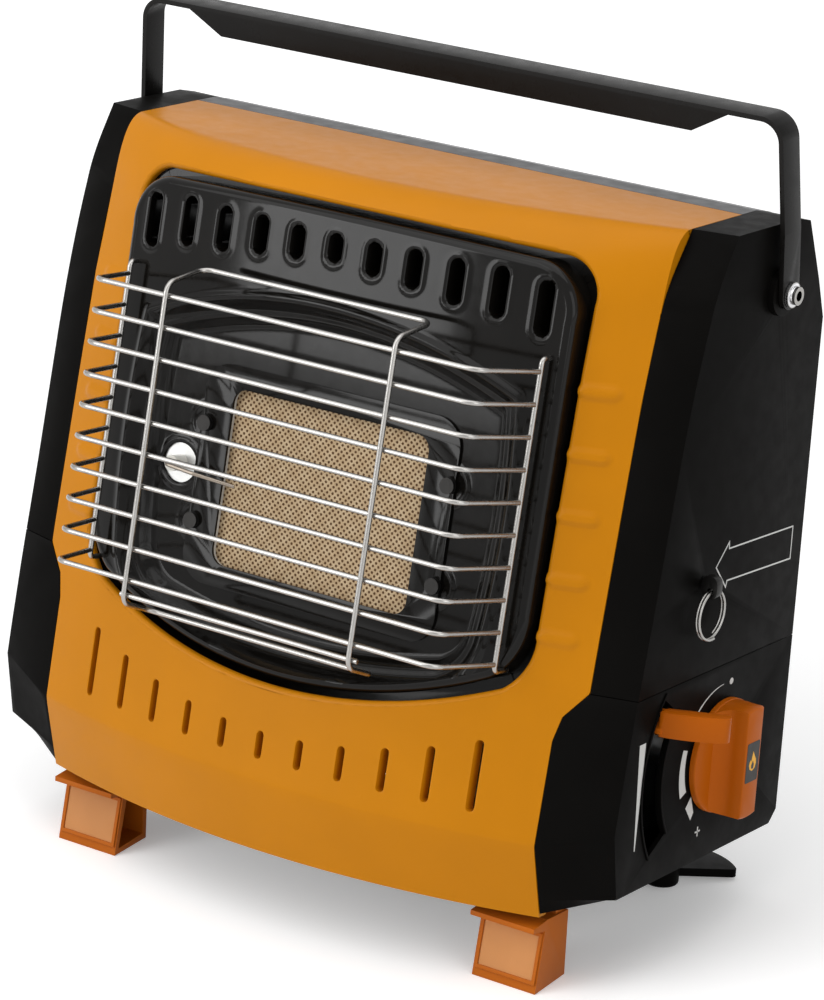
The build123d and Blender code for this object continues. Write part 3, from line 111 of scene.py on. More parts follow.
class Wiring:
    """Adds and links the nodes of one material."""

    def __init__(self, name: str) -> None:
        """Start an empty node tree with a Principled shader.

        Args:
            name: Name of the material.
        """
        self.material = bpy.data.materials.new(name)
        self.material.use_nodes = True
        self.tree = self.material.node_tree
        self.shader = self.tree.nodes["Principled BSDF"]
        self.place = self.add("ShaderNodeTexCoord").outputs["Object"]

    def add(self, kind: str, **settings: object) -> bpy.types.Node:
        """Add a node and set its properties and input sockets by name.

        Args:
            kind: Node type.
            settings: Property names, or input names with spaces as underscores.

        Returns:
            The new node.
        """
        node = self.tree.nodes.new(kind)
        for key, value in settings.items():
            label = key.replace("_", " ").title()
            if hasattr(node, key):
                setattr(node, key, value)
            elif isinstance(value, bpy.types.NodeSocket):
                self.tree.links.new(value, node.inputs[label])
            else:
                node.inputs[label].default_value = value
        return node

    def link(self, source: bpy.types.NodeSocket, target: bpy.types.NodeSocket) -> None:
        """Link two sockets."""
        self.tree.links.new(source, target)

    def stretched(self, scale: Sequence[float]) -> bpy.types.NodeSocket:
        """Scale the Object coordinates.

        Args:
            scale: Scale on each axis.

        Returns:
            The scaled coordinates.
        """
        node = self.add("ShaderNodeMapping", Scale=scale)
        self.link(self.place, node.inputs["Vector"])
        return node.outputs["Vector"]

    def noise(
        self, size_mm: float, detail: float = 3.0, stretch: Sequence[float] = (1, 1, 1)
    ) -> bpy.types.NodeSocket:
        """Add a noise whose features measure about `size_mm`.

        Args:
            size_mm: Size of one feature.
            detail: Number of octaves.
            stretch: Scale of the coordinates on each axis.

        Returns:
            The noise's factor.
        """
        node = self.add("ShaderNodeTexNoise", Scale=1.0 / (size_mm * MM), Detail=detail)
        self.link(self.stretched(stretch), node.inputs["Vector"])
        return node.outputs["Fac"]

    def ranged(
        self, value: bpy.types.NodeSocket, low: float, high: float, start: float = 0.3,
        stop: float = 0.7,
    ) -> bpy.types.NodeSocket:
        """Map a value from one range to another.

        Args:
            value: The value.
            low: Result at the start of its range.
            high: Result at the end of its range.
            start: Start of its range.
            stop: End of its range.

        Returns:
            The result.
        """
        node = self.add(
            "ShaderNodeMapRange", From_Min=start, From_Max=stop, To_Min=low, To_Max=high
        )
        self.link(value, node.inputs["Value"])
        return node.outputs["Result"]

    def blend(
        self, share: bpy.types.NodeSocket, first: Colour, second: Colour
    ) -> bpy.types.NodeSocket:
        """Mix two colours.

        Args:
            share: Share of the second colour.
            first: First colour.
            second: Second colour.

        Returns:
            The mixed colour.
        """
        node = self.add("ShaderNodeMix", data_type="RGBA")
        self.link(share, node.inputs[0])
        node.inputs[6].default_value = (*first, 1)
        node.inputs[7].default_value = (*second, 1)
        return node.outputs[2]

    def bump(
        self, height: bpy.types.NodeSocket, depth_mm: float, under: bpy.types.Node | None = None
    ) -> bpy.types.Node:
        """Add a bump, over another one if given.

        Args:
            height: Height of the surface.
            depth_mm: Depth of the relief in millimetres.
            under: Bump that it stands on.

        Returns:
            The bump's node.
        """
        node = self.add("ShaderNodeBump", Distance=depth_mm * MM, Strength=1.0)
        self.link(height, node.inputs["Height"])
        if under:
            self.link(under.outputs["Normal"], node.inputs["Normal"])
        return node


@dataclass(frozen=True)
class Finish:
    """One surface finish, with the grain and variation of the real material."""

    name: str
    colour: Colour
    texture: Texture
    roughness: float
    metallic: float = 0.0
    coat: float = 0.0
    grain_mm: float = 1.0
    depth_mm: float = 0.01
    variation: float = 0.08
    spread: float = 0.06
    stretch: tuple[float, float, float] = (1.0, 1.0, 1.0)
    specular: float = 0.3
    wave: float = 4.0
    tint_mm: float = 38.0
    marks_mm: float = 6.0
    wave_mm: float = 9.0
    coat_roughness: float = 0.08

    def material(self) -> bpy.types.Material:
        """Build the finish, if it isn't there already.

        Returns:
            Its material.
        """
        ready = bpy.data.materials.get(self.name)
        if ready:
            return ready
        wiring = Wiring(self.name)
        shader = wiring.shader
        shader.inputs["Metallic"].default_value = self.metallic
        shader.inputs["Coat Weight"].default_value = self.coat
        shader.inputs["Specular IOR Level"].default_value = self.specular
        shader.inputs["Coat Roughness"].default_value = self.coat_roughness
        slow = wiring.noise(self.tint_mm, 4.0)
        dark = tuple(channel * (1 - self.variation) for channel in self.colour)
        pale = tuple(min(1.0, channel * (1 + self.variation)) for channel in self.colour)
        wiring.link(
            wiring.blend(wiring.ranged(slow, 0, 1), dark, pale), shader.inputs["Base Color"]
        )
        marks = wiring.noise(self.marks_mm, 5.0, self.stretch)
        wiring.link(
            wiring.ranged(marks, self.roughness - self.spread, self.roughness + self.spread),
            shader.inputs["Roughness"],
        )
        fine = wiring.noise(self.grain_mm, OCTAVES[self.texture], self.stretch)
        relief = wiring.bump(fine, self.depth_mm)
        if self.texture in (Texture.ENAMEL, Texture.ORANGE_PEEL):
            waves = wiring.noise(self.wave_mm, 2.0)
            relief = wiring.bump(waves, self.depth_mm * self.wave, relief)
        wiring.link(relief.outputs["Normal"], shader.inputs["Normal"])
        return wiring.material


ORANGE_PAINT = Finish(
    "orange_paint_sprayed", (0.52, 0.188, 0.002), Texture.ORANGE_PEEL, 0.38,
    grain_mm=0.7, depth_mm=0.004, variation=0.035, spread=0.04, specular=0.11,
)
BLACK_PLASTIC = Finish(
    "black_plastic_moulded", (0.0032, 0.0029, 0.0026), Texture.MOULDED, 0.44,
    grain_mm=0.5, depth_mm=0.012, variation=0.18, spread=0.05, specular=0.02,
)
BLACK_PAINT = Finish(
    "black_paint_satin", (0.006, 0.0055, 0.005), Texture.ORANGE_PEEL, 0.3,
    grain_mm=0.8, depth_mm=0.006, variation=0.15, spread=0.06, specular=0.1,
)
# Black painted sheet lightened to grey: partly the sheet's own dark paint, partly a painted sheen
# standing in for the light it reflects.
BLACK_SHEET_WITH_PAINTED_SHEEN = Finish(
    "black_sheet_with_painted_sheen", (0.026, 0.026, 0.028), Texture.ORANGE_PEEL, 0.38,
    grain_mm=0.8, depth_mm=0.006, variation=0.15, spread=0.06,
)
ENAMEL = Finish(
    "black_enamel_fired", (0.0042, 0.0036, 0.003), Texture.ENAMEL, 0.11, coat=0.04,
    grain_mm=3.0, depth_mm=0.004, variation=0.25, spread=0.02, specular=0.15, wave=1.5,
)
BLACK_OXIDE = Finish(
    "black_oxide_screws", (0.022, 0.021, 0.02), Texture.BRUSHED, 0.4, metallic=0.7,
    grain_mm=0.3, depth_mm=0.006, variation=0.2,
)
CHROME = Finish(
    "chrome_wire_drawn", (0.34, 0.33, 0.315), Texture.BRUSHED, 0.27, metallic=1.0,
    grain_mm=0.4, depth_mm=0.004, variation=0.08, spread=0.05, stretch=(0.15, 1, 1),
)
ZINC = Finish(
    "zinc_steel", (0.46, 0.46, 0.44), Texture.BRUSHED, 0.36, metallic=1.0,
    grain_mm=0.6, depth_mm=0.006, variation=0.14, spread=0.1, stretch=(0.12, 1, 1),
)
HEATED_STEEL = Finish(
    "heat_tinted_steel", (0.34, 0.29, 0.24), Texture.BRUSHED, 0.32, metallic=1.0,
    grain_mm=0.5, depth_mm=0.004, variation=0.25, spread=0.1,
)
ALUMINIUM = Finish(
    "cast_aluminium", (0.52, 0.53, 0.54), Texture.CAST, 0.45, metallic=1.0,
    grain_mm=0.9, depth_mm=0.05, variation=0.1, spread=0.1,
)
BRASS = Finish(
    "turned_brass", (0.64, 0.42, 0.15), Texture.BRUSHED, 0.24, metallic=1.0,
    grain_mm=0.3, depth_mm=0.004, variation=0.12, stretch=(1, 1, 0.2),
)
INSULATOR = Finish(
    "glazed_insulator", (0.74, 0.72, 0.66), Texture.FIRED, 0.22, coat=0.4,
    grain_mm=0.5, depth_mm=0.004, variation=0.1,
)
GASKET = Finish(
    "fibre_gasket", (0.52, 0.50, 0.46), Texture.FIRED, 0.9,
    grain_mm=0.4, depth_mm=0.08, variation=0.2, stretch=(1, 1, 0.3),
)
RUBBER = Finish(
    "lead_rubber", (0.16, 0.012, 0.01), Texture.MOULDED, 0.55,
    grain_mm=0.4, depth_mm=0.01, variation=0.15,
)
IGNITER = Finish(
    "igniter_plastic", (0.02, 0.02, 0.022), Texture.MOULDED, 0.5,
    grain_mm=0.4, depth_mm=0.01, variation=0.15,
)
ORANGE_PLASTIC = Finish(
    "orange_plastic_moulded", (0.46, 0.10, 0.002), Texture.MOULDED, 0.4,
    grain_mm=0.6, depth_mm=0.006, variation=0.05, spread=0.05, specular=0.1,
)
FOOT_PLASTIC = Finish(
    "foot_plastic_moulded", (0.45, 0.112, 0.007), Texture.MOULDED, 0.38,
    grain_mm=0.6, depth_mm=0.006, variation=0.06, spread=0.05, specular=0.12,
)
PALE_PLASTIC = Finish(
    "foot_window_plastic", (0.55, 0.235, 0.075), Texture.MOULDED, 0.55,
    grain_mm=0.9, depth_mm=0.02, variation=0.1, spread=0.06,
)
WHITE_PRINT = Finish(
    "white_print", (0.62, 0.62, 0.60), Texture.MOULDED, 0.5,
    grain_mm=0.3, depth_mm=0.004, variation=0.08,
)
DARK_PRINT = Finish(
    "dark_print", (0.018, 0.016, 0.014), Texture.MOULDED, 0.45,
    grain_mm=0.3, depth_mm=0.004, variation=0.1,
)
FLAME_PRINT = Finish(
    "flame_print", (0.85, 0.42, 0.03), Texture.MOULDED, 0.45,
    grain_mm=0.3, depth_mm=0.004, variation=0.08,
)


@dataclass(frozen=True)
class PlaqueCeramic:
    """Cream ceramic with a lattice of fine burner ports, coloured dark as painted shade inside the
    holes.
    """

    name: str = "plaque_ceramic_ported"
    pitch_mm: float = 1.85
    port_share: float = 0.27
    body: Colour = (0.455, 0.325, 0.19)
    rim: Colour = (0.53, 0.40, 0.25)
    # Colour of the ports: painted shade inside the deep holes.
    port_shade: Colour = (0.10, 0.048, 0.018)
    port_edge: Point = (0.05, 0.06)
    bank: int = 4
    bank_edge: Point = (0.12, 0.6)
    turn: float = radians(45)
    well_mm: float = 0.35
    grain_mm: float = 0.5
    grain_depth_mm: float = 0.03
    roughness: float = 0.85
    specular: float = 0.2

    def lattice(self, wiring: Wiring, pitch: float) -> bpy.types.NodeSocket:
        """Measure the distance to the nearest point of a lattice in the plaque's plane.

        Args:
            wiring: Nodes of the material.
            pitch: Spacing in millimetres.

        Returns:
            Distance in shares of the pitch.
        """
        start = FACE.translation
        tilt = CASE_LEAN + FACE_LEAN
        into = wiring.add("ShaderNodeMapping")
        into.inputs["Rotation"].default_value = (tilt, 0, 0)
        into.inputs["Location"].default_value = -(Matrix.Rotation(tilt, 3, "X") @ start)
        wiring.link(wiring.place, into.inputs["Vector"])
        split = wiring.add("ShaderNodeSeparateXYZ")
        wiring.link(into.outputs["Vector"], split.inputs["Vector"])
        flat = wiring.add("ShaderNodeCombineXYZ")
        wiring.link(split.outputs["X"], flat.inputs["X"])
        wiring.link(split.outputs["Z"], flat.inputs["Y"])
        turned = wiring.add("ShaderNodeMapping")
        turned.inputs["Rotation"].default_value = (0, 0, self.turn)
        turned.inputs["Scale"].default_value = (1 / (pitch * MM),) * 3
        wiring.link(flat.outputs["Vector"], turned.inputs["Vector"])
        cells = wiring.add("ShaderNodeTexVoronoi", voronoi_dimensions="2D", Randomness=0.0)
        cells.inputs["Scale"].default_value = 1.0
        wiring.link(turned.outputs["Vector"], cells.inputs["Vector"])
        return cells.outputs["Distance"]

    def material(self) -> bpy.types.Material:
        """Build the ceramic.

        Returns:
            Its material.
        """
        wiring = Wiring(self.name)
        shader = wiring.shader
        ports = self.lattice(wiring, self.pitch_mm)
        inside, outside = self.port_edge
        edge = (self.port_share - inside, self.port_share + outside)
        hole = wiring.ranged(ports, 1.0, 0.0, *edge)
        banks = self.lattice(wiring, self.pitch_mm * self.bank)
        relief = wiring.ranged(banks, 0.0, 1.0, *self.bank_edge)
        tint = wiring.blend(relief, self.rim, self.body)
        # Painted shade: the ports are coloured dark where the holes are.
        spots = wiring.add("ShaderNodeMix", data_type="RGBA")
        wiring.link(hole, spots.inputs[0])
        wiring.link(tint, spots.inputs[6])
        spots.inputs[7].default_value = (*self.port_shade, 1)
        wiring.link(spots.outputs[2], shader.inputs["Base Color"])
        shader.inputs["Roughness"].default_value = self.roughness
        shader.inputs["Specular IOR Level"].default_value = self.specular
        grain = wiring.bump(wiring.noise(self.grain_mm, 4.0), self.grain_depth_mm)
        wells = wiring.bump(wiring.ranged(hole, 1.0, 0.0, 0.0, 1.0), self.well_mm, grain)
        wiring.link(wells.outputs["Normal"], shader.inputs["Normal"])
        return wiring.material


@dataclass(frozen=True)
class ScrewChrome:
    """Chromed screw head with a cross recess painted dark as shade, centred on the screw's axis."""

    name: str
    centre: Vector
    half_width_mm: float = 0.45
    reach_mm: float = 2.0
    recess_mm: float = 0.8
    bright: Colour = (0.66, 0.66, 0.67)
    # Colour of the cross recess: painted shade inside the recess.
    dark: Colour = (0.05, 0.05, 0.05)
    roughness: Point = (0.1, 0.26)
    marks_mm: float = 2.0

    def material(self) -> bpy.types.Material:
        """Build the chromed head.

        Returns:
            Its material.
        """
        wiring = Wiring(self.name)
        shader = wiring.shader
        local = wiring.add("ShaderNodeMapping")
        local.inputs["Location"].default_value = -self.centre
        wiring.link(wiring.place, local.inputs["Vector"])
        split = wiring.add("ShaderNodeSeparateXYZ")
        wiring.link(local.outputs["Vector"], split.inputs["Vector"])
        sizes = []
        for axis in ("Y", "Z"):
            away = wiring.add("ShaderNodeMath", operation="ABSOLUTE")
            wiring.link(split.outputs[axis], away.inputs[0])
            sizes.append(away.outputs[0])
        near = wiring.add("ShaderNodeMath", operation="MINIMUM")
        far = wiring.add("ShaderNodeMath", operation="MAXIMUM")
        for node in (near, far):
            wiring.link(sizes[0], node.inputs[0])
            wiring.link(sizes[1], node.inputs[1])
        width, reach = self.half_width_mm * MM, self.reach_mm * MM
        slim = wiring.ranged(near.outputs[0], 1.0, 0.0, width * 0.8, width * 1.2)
        short = wiring.ranged(far.outputs[0], 1.0, 0.0, reach * 0.9, reach)
        cross = wiring.add("ShaderNodeMath", operation="MULTIPLY")
        wiring.link(slim, cross.inputs[0])
        wiring.link(short, cross.inputs[1])
        # Painted shade: the cross recess is coloured dark against the bright chrome.
        tint = wiring.blend(cross.outputs[0], self.bright, self.dark)
        wiring.link(tint, shader.inputs["Base Color"])
        shader.inputs["Metallic"].default_value = 1.0
        polish = wiring.ranged(wiring.noise(self.marks_mm), *self.roughness)
        wiring.link(polish, shader.inputs["Roughness"])
        dip = wiring.bump(wiring.ranged(cross.outputs[0], 1.0, 0.0, 0.0, 1.0), self.recess_mm)
        wiring.link(dip.outputs["Normal"], shader.inputs["Normal"])
        return wiring.material


# ---------------------------------------------------------------------------------------
# Making pieces
# ---------------------------------------------------------------------------------------


@dataclass(frozen=True)
class Placement:
    """Where a finished piece belongs."""

    name: str
    body: str
    slot: str
    replaces: tuple[str, ...] = ()


def settle(
    shape: bmesh.types.BMesh,
    placement: Placement,
    finish: Dressing,
    place: Matrix = CASE,
    sharp: float | None = 35.0,
    closed: bool = True,
) -> bpy.types.Object:
    """Turn a finished bmesh into an object at the origin that rides on its body.

    Args:
        shape: The shape in the frame of `place`.
        placement: Name, body and slot of the piece, and the nodes it stands for.
        finish: Finish that dresses it.
        place: Frame that the shape is drawn in.
        sharp: Angle in degrees above which an edge stays sharp, or None.
        closed: Whether its normals can be worked out from the closed shape.

    Returns:
        The new object.
    """
    if closed:
        bmesh.ops.remove_doubles(shape, verts=shape.verts[:], dist=1e-5)
        bmesh.ops.recalc_face_normals(shape, faces=shape.faces[:])
    bmesh.ops.transform(shape, matrix=place, verts=shape.verts[:])
    mesh = bpy.data.meshes.new(placement.name)
    shape.to_mesh(mesh)
    shape.free()
    mesh.shade_smooth()
    if sharp is not None:
        mesh.set_sharp_from_angle(angle=radians(sharp))
    piece = bpy.data.objects.new(placement.name, mesh)
    bpy.context.scene.collection.objects.link(piece)
    mesh.materials.append(finish.material())
    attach(piece, placement.body)
    if placement.replaces:
        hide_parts(*placement.replaces)
    log.info("%s: %d faces", placement.name, len(mesh.polygons))
    return piece


def round_edges(
    piece: bpy.types.Object, width_mm: float, segments: int = 3, angle: float = 30.0
) -> None:
    """Round a piece's edges with a live Bevel modifier.

    Args:
        piece: The piece.
        width_mm: Width of the rounding.
        segments: Steps of the rounding.
        angle: Edges sharper than this many degrees are rounded.
    """
    bevel = piece.modifiers.new("Edge_rounding", "BEVEL")
    bevel.width = width_mm * MM
    bevel.segments = segments
    bevel.limit_method = "ANGLE"
    bevel.angle_limit = radians(angle)
    bevel.harden_normals = True
    bevel.use_clamp_overlap = True


def softened(
    node: str, body: str, slot: str, finish: Finish, width_mm: float, segments: int = 3,
    angle: float = 30.0,
) -> bpy.types.Object:
    """Stand a round-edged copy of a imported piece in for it.

    Args:
        node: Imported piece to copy.
        body: Body that it rides on.
        slot: Material slot of the record.
        finish: Finish that dresses it.
        width_mm: Width of the rounding.
        segments: Steps of the rounding.
        angle: Edges sharper than this many degrees are rounded.

    Returns:
        The new object.
    """
    shape = bmesh.new()
    shape.from_mesh(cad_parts[node].data)
    bmesh.ops.remove_doubles(shape, verts=shape.verts[:], dist=2e-6)
    bmesh.ops.dissolve_limit(
        shape, angle_limit=radians(0.6), verts=shape.verts[:], edges=shape.edges[:]
    )
    placement = Placement(f"{node}_finished", body, slot, (node,))
    piece = settle(shape, placement, finish, Matrix.Identity(4), None, closed=False)
    round_edges(piece, width_mm, segments, angle)
    return piece


def arc_points(first: Point, middle: Point, last: Point, steps: int) -> list[Point]:
    """Sample the circular arc through three points, without its last point.

    Args:
        first: Start of the arc.
        middle: A point on it.
        last: End of the arc.
        steps: Number of points.

    Returns:
        Points from the start up to just before the end.
    """
    (ax, ay), (bx, by), (cx, cy) = first, middle, last
    d = 2 * (ax * (by - cy) + bx * (cy - ay) + cx * (ay - by))
    if abs(d) < 1e-9:
        return [
            (ax + (cx - ax) * step / steps, ay + (cy - ay) * step / steps)
            for step in range(steps)
        ]
    ux = (
        (ax * ax + ay * ay) * (by - cy) + (bx * bx + by * by) * (cy - ay)
        + (cx * cx + cy * cy) * (ay - by)
    ) / d
    uy = (
        (ax * ax + ay * ay) * (cx - bx) + (bx * bx + by * by) * (ax - cx)
        + (cx * cx + cy * cy) * (bx - ax)
    ) / d
    start, via, stop = (atan2(y - uy, x - ux) for x, y in (first, middle, last))
    sweep = (stop - start) % (2 * pi)
    if (via - start) % (2 * pi) > sweep:
        sweep -= 2 * pi
    radius = hypot(ax - ux, ay - uy)
    return [
        (
            ux + radius * cos(start + sweep * step / steps),
            uy + radius * sin(start + sweep * step / steps),
        )
        for step in range(steps)
    ]


class Outline:
    """Closed outline that knows its nearest point to any place in its plane."""

    def __init__(self, points: Sequence[Point], spacing: float = 0.6) -> None:
        """Keep the outline finely sampled and turned to run anticlockwise.

        Args:
            points: Corners of the outline.
            spacing: Greatest distance between the kept samples.
        """
        area = sum(
            a[0] * b[1] - b[0] * a[1] for a, b in zip(points, [*points[1:], points[0]])
        )
        corners = list(points) if area > 0 else list(reversed(points))
        self.points: list[Point] = []
        for (ax, ay), (bx, by) in zip(corners, [*corners[1:], corners[0]]):
            steps = max(1, round(hypot(bx - ax, by - ay) / spacing))
            self.points += [
                (ax + (bx - ax) * step / steps, ay + (by - ay) * step / steps)
                for step in range(steps)
            ]
        self.tree = KDTree(len(self.points))
        for index, (x, y) in enumerate(self.points):
            self.tree.insert((x, y, 0.0), index)
        self.tree.balance()

    def nearest(self, x: float, y: float) -> tuple[float, Point, Point]:
        """Find the nearest point of the outline.

        Args:
            x: First coordinate.
            y: Second coordinate.

        Returns:
            Distance, positive inside, the nearest point, and the inward direction there.
        """
        index = self.tree.find((x, y, 0.0))[1]
        count = len(self.points)
        before, here, after = (self.points[(index + shift) % count] for shift in (-1, 0, 1))
        gap, spot = min(nearest_on(x, y, before, here), nearest_on(x, y, here, after))
        along = Vector((after[0] - before[0], after[1] - before[1])).normalized()
        inward = (-along.y, along.x)
        side = (x - spot[0]) * inward[0] + (y - spot[1]) * inward[1]
        sign = 1.0 if side > 0 else -1.0
        if gap > 0.05:
            inward = (sign * (x - spot[0]) / gap, sign * (y - spot[1]) / gap)
        return sign * gap, spot, inward

    def holds(self, x: float, y: float) -> bool:
        """Whether a point lies inside the outline."""
        return self.nearest(x, y)[0] > 0


def nearest_on(x: float, y: float, start: Point, stop: Point) -> tuple[float, Point]:
    """Find the nearest point of a straight run.

    Args:
        x: First coordinate.
        y: Second coordinate.
        start: Start of the run.
        stop: End of the run.

    Returns:
        Distance to it, and the point.
    """
    dx, dy = stop[0] - start[0], stop[1] - start[1]
    length = dx * dx + dy * dy or 1.0
    share = min(1.0, max(0.0, ((x - start[0]) * dx + (y - start[1]) * dy) / length))
    spot = (start[0] + share * dx, start[1] + share * dy)
    return hypot(x - spot[0], y - spot[1]), spot


@dataclass(frozen=True)
class Slot:
    """Upright slot with round ends."""

    x: float
    centre: float
    width: float
    length: float

    def gap(self, x: float, y: float) -> tuple[float, Point, Point]:
        """Find how far a point lies outside the slot.

        Args:
            x: First coordinate.
            y: Second coordinate.

        Returns:
            Distance outside, the nearest point of the edge, and the outward direction.
        """
        reach = (self.length - self.width) / 2
        core = min(max(y - self.centre, -reach), reach) + self.centre
        dx, dy = x - self.x, y - core
        away = hypot(dx, dy) or 1e-6
        radius = self.width / 2
        direction = (dx / away, dy / away)
        spot = (self.x + direction[0] * radius, core + direction[1] * radius)
        return away - radius, spot, direction


def mirrored(point: Point) -> Point:
    """Point on the other side of the middle."""
    return (-point[0], point[1])


def window_outline(inset: float) -> list[Point]:
    """Draw the front panel's window in the face plane.

    Args:
        inset: How far inside the window's edge the outline runs.

    Returns:
        Points round the outline.
    """
    side, low, top = 108.2 - inset, -91.5 + inset, 99.5 - inset
    heel = (98.0 - inset, low + 21.5)
    lower_turn = (side - 2.9, low + 30.4)
    flank = (side, low + 44.6)
    shoulder = (side, 80.0 - inset)
    upper_turn = (side - 4.4, top - 6)
    crest = (side - 16.2, top - 1.4)
    runs = (
        (mirrored(heel), (0, low), heel, 60),
        (heel, lower_turn, flank, 12),
        (flank, (side, 0), shoulder, 20),
        (shoulder, upper_turn, crest, 14),
        (crest, (0, top), mirrored(crest), 50),
        (mirrored(crest), mirrored(upper_turn), mirrored(shoulder), 14),
        (mirrored(shoulder), (-side, 0), mirrored(flank), 20),
        (mirrored(flank), mirrored(lower_turn), mirrored(heel), 12),
    )
    return [point for run in runs for point in arc_points(*run)]


def bowl_outline(inset: float) -> list[Point]:
    """Draw the reflector's bowl in the face plane.

    Args:
        inset: How far inside the bowl's edge the outline runs.

    Returns:
        Points round the outline.
    """
    half, top, low = 88.0 - inset, 59.0 - inset, -85.0 + inset
    shoulder = (half, top - 18)
    flank = (half + 3, -6)
    heel = (half, low + 33)
    lower_turn = (half - 6, low + 18)
    foot = (half - 18, low + 9)
    runs = (
        (shoulder, (0, top), mirrored(shoulder), 50),
        (mirrored(shoulder), mirrored(flank), mirrored(heel), 30),
        (mirrored(heel), mirrored(lower_turn), mirrored(foot), 12),
        (mirrored(foot), (0, low), foot, 40),
        (foot, lower_turn, heel, 12),
        (heel, flank, shoulder, 30),
    )
    return [point for run in runs for point in arc_points(*run)]


def between(stops: Sequence[Point], at: float) -> float:
    """Read a value between the stops of a table.

    Args:
        stops: Places with their values, in order.
        at: Place to read at.

    Returns:
        The value there, held beyond the ends.
    """
    for (low, first), (high, second) in zip(stops, stops[1:]):
        if at <= high:
            return first + (second - first) * max(0.0, at - low) / (high - low)
    return stops[-1][1]


def smooth(value: float) -> float:
    """Ease a share between 0 and 1."""
    share = min(1.0, max(0.0, value))
    return share * share * (3 - 2 * share)


@dataclass(frozen=True)
class Bead:
    """Low rounded ridge that follows an outline."""

    crest: float
    half: float
    height: float

    def rise(self, away: float) -> float:
        """Height at a distance from the outline."""
        return self.height * smooth(1 - abs(away - self.crest) / self.half)


# ---------------------------------------------------------------------------------------
# Working on meshes
# ---------------------------------------------------------------------------------------


def open_edges(shape: bmesh.types.BMesh, near: Callable[[Vector], bool]) -> list:
    """Find the boundary edges whose two ends both pass a test.

    Args:
        shape: Mesh to search.
        near: Test of a vertex's place.

    Returns:
        The edges.
    """
    return [
        edge for edge in shape.edges
        if edge.is_boundary and near(edge.verts[0].co) and near(edge.verts[1].co)
    ]


def push_edges(
    shape: bmesh.types.BMesh, edges: list, move: Callable[[Vector], Vector]
) -> list:
    """Extrude open edges once and move the new vertices.

    Args:
        shape: Mesh that is worked on.
        edges: Edges to extrude.
        move: Gives the new place of a vertex.

    Returns:
        The new edges.
    """
    made = bmesh.ops.extrude_edge_only(shape, edges=edges)["geom"]
    for vertex in (item for item in made if isinstance(item, bmesh.types.BMVert)):
        vertex.co = move(vertex.co)
    return [
        item for item in made
        if isinstance(item, bmesh.types.BMEdge) and item.is_boundary
    ]


def raise_faces(shape: bmesh.types.BMesh, faces: list, reach: Sequence[float]) -> list:
    """Extrude faces and move them along.

    Args:
        shape: Mesh that is worked on.
        faces: Faces to extrude.
        reach: How far they move on each axis.

    Returns:
        The vertices that moved.
    """
    made = bmesh.ops.extrude_face_region(shape, geom=faces)["geom"]
    raised = [item for item in made if isinstance(item, bmesh.types.BMVert)]
    bmesh.ops.translate(shape, verts=raised, vec=reach)
    return raised


def round_corners(shape: bmesh.types.BMesh, face: bmesh.types.BMFace, radius: float) -> None:
    """Round the corners of a flat face.

    Args:
        shape: Mesh that it belongs to.
        face: The face.
        radius: Rounding of its corners.
    """
    bmesh.ops.bevel(
        shape, geom=face.verts[:], offset=radius, segments=4, profile=0.5, affect="VERTICES",
        material=-1,
    )


def add_disc(shape: bmesh.types.BMesh, radius: float, segments: int) -> list:
    """Add a disc round the origin that faces sideways.

    Args:
        shape: Mesh that it goes into.
        radius: Its radius.
        segments: Its number of sides.

    Returns:
        Its vertices.
    """
    made = bmesh.ops.create_circle(shape, cap_ends=True, segments=segments, radius=radius)
    bmesh.ops.rotate(
        shape, verts=made["verts"], cent=(0, 0, 0), matrix=Matrix.Rotation(pi / 2, 3, "Y")
    )
    return made["verts"]


def face_front(shape: bmesh.types.BMesh, spot: Vector) -> None:
    """Turn an open sheet's faces so that they look to the front.

    Args:
        shape: The sheet.
        spot: Place on a part of the sheet that must look forward.
    """
    shape.normal_update()
    probe = min(shape.faces, key=lambda face: (face.calc_center_median() - spot).length)
    if probe.normal.y > 0:
        bmesh.ops.reverse_faces(shape, faces=shape.faces[:])


# ---------------------------------------------------------------------------------------
# Front panel
# ---------------------------------------------------------------------------------------


def front_vents() -> list[Slot]:
    """Lay out the row of vents below the window, which grow towards the sides.

    Returns:
        The vents.
    """
    sill, pitch, width, bow = 26.5, 18.6, 3.2, 514.0
    made = []
    for number in range(11):
        x = (number - 5) * pitch
        top = 37.6 + x * x / bow
        made.append(Slot(x, (top + sill) / 2, width, top - sill))
    return made


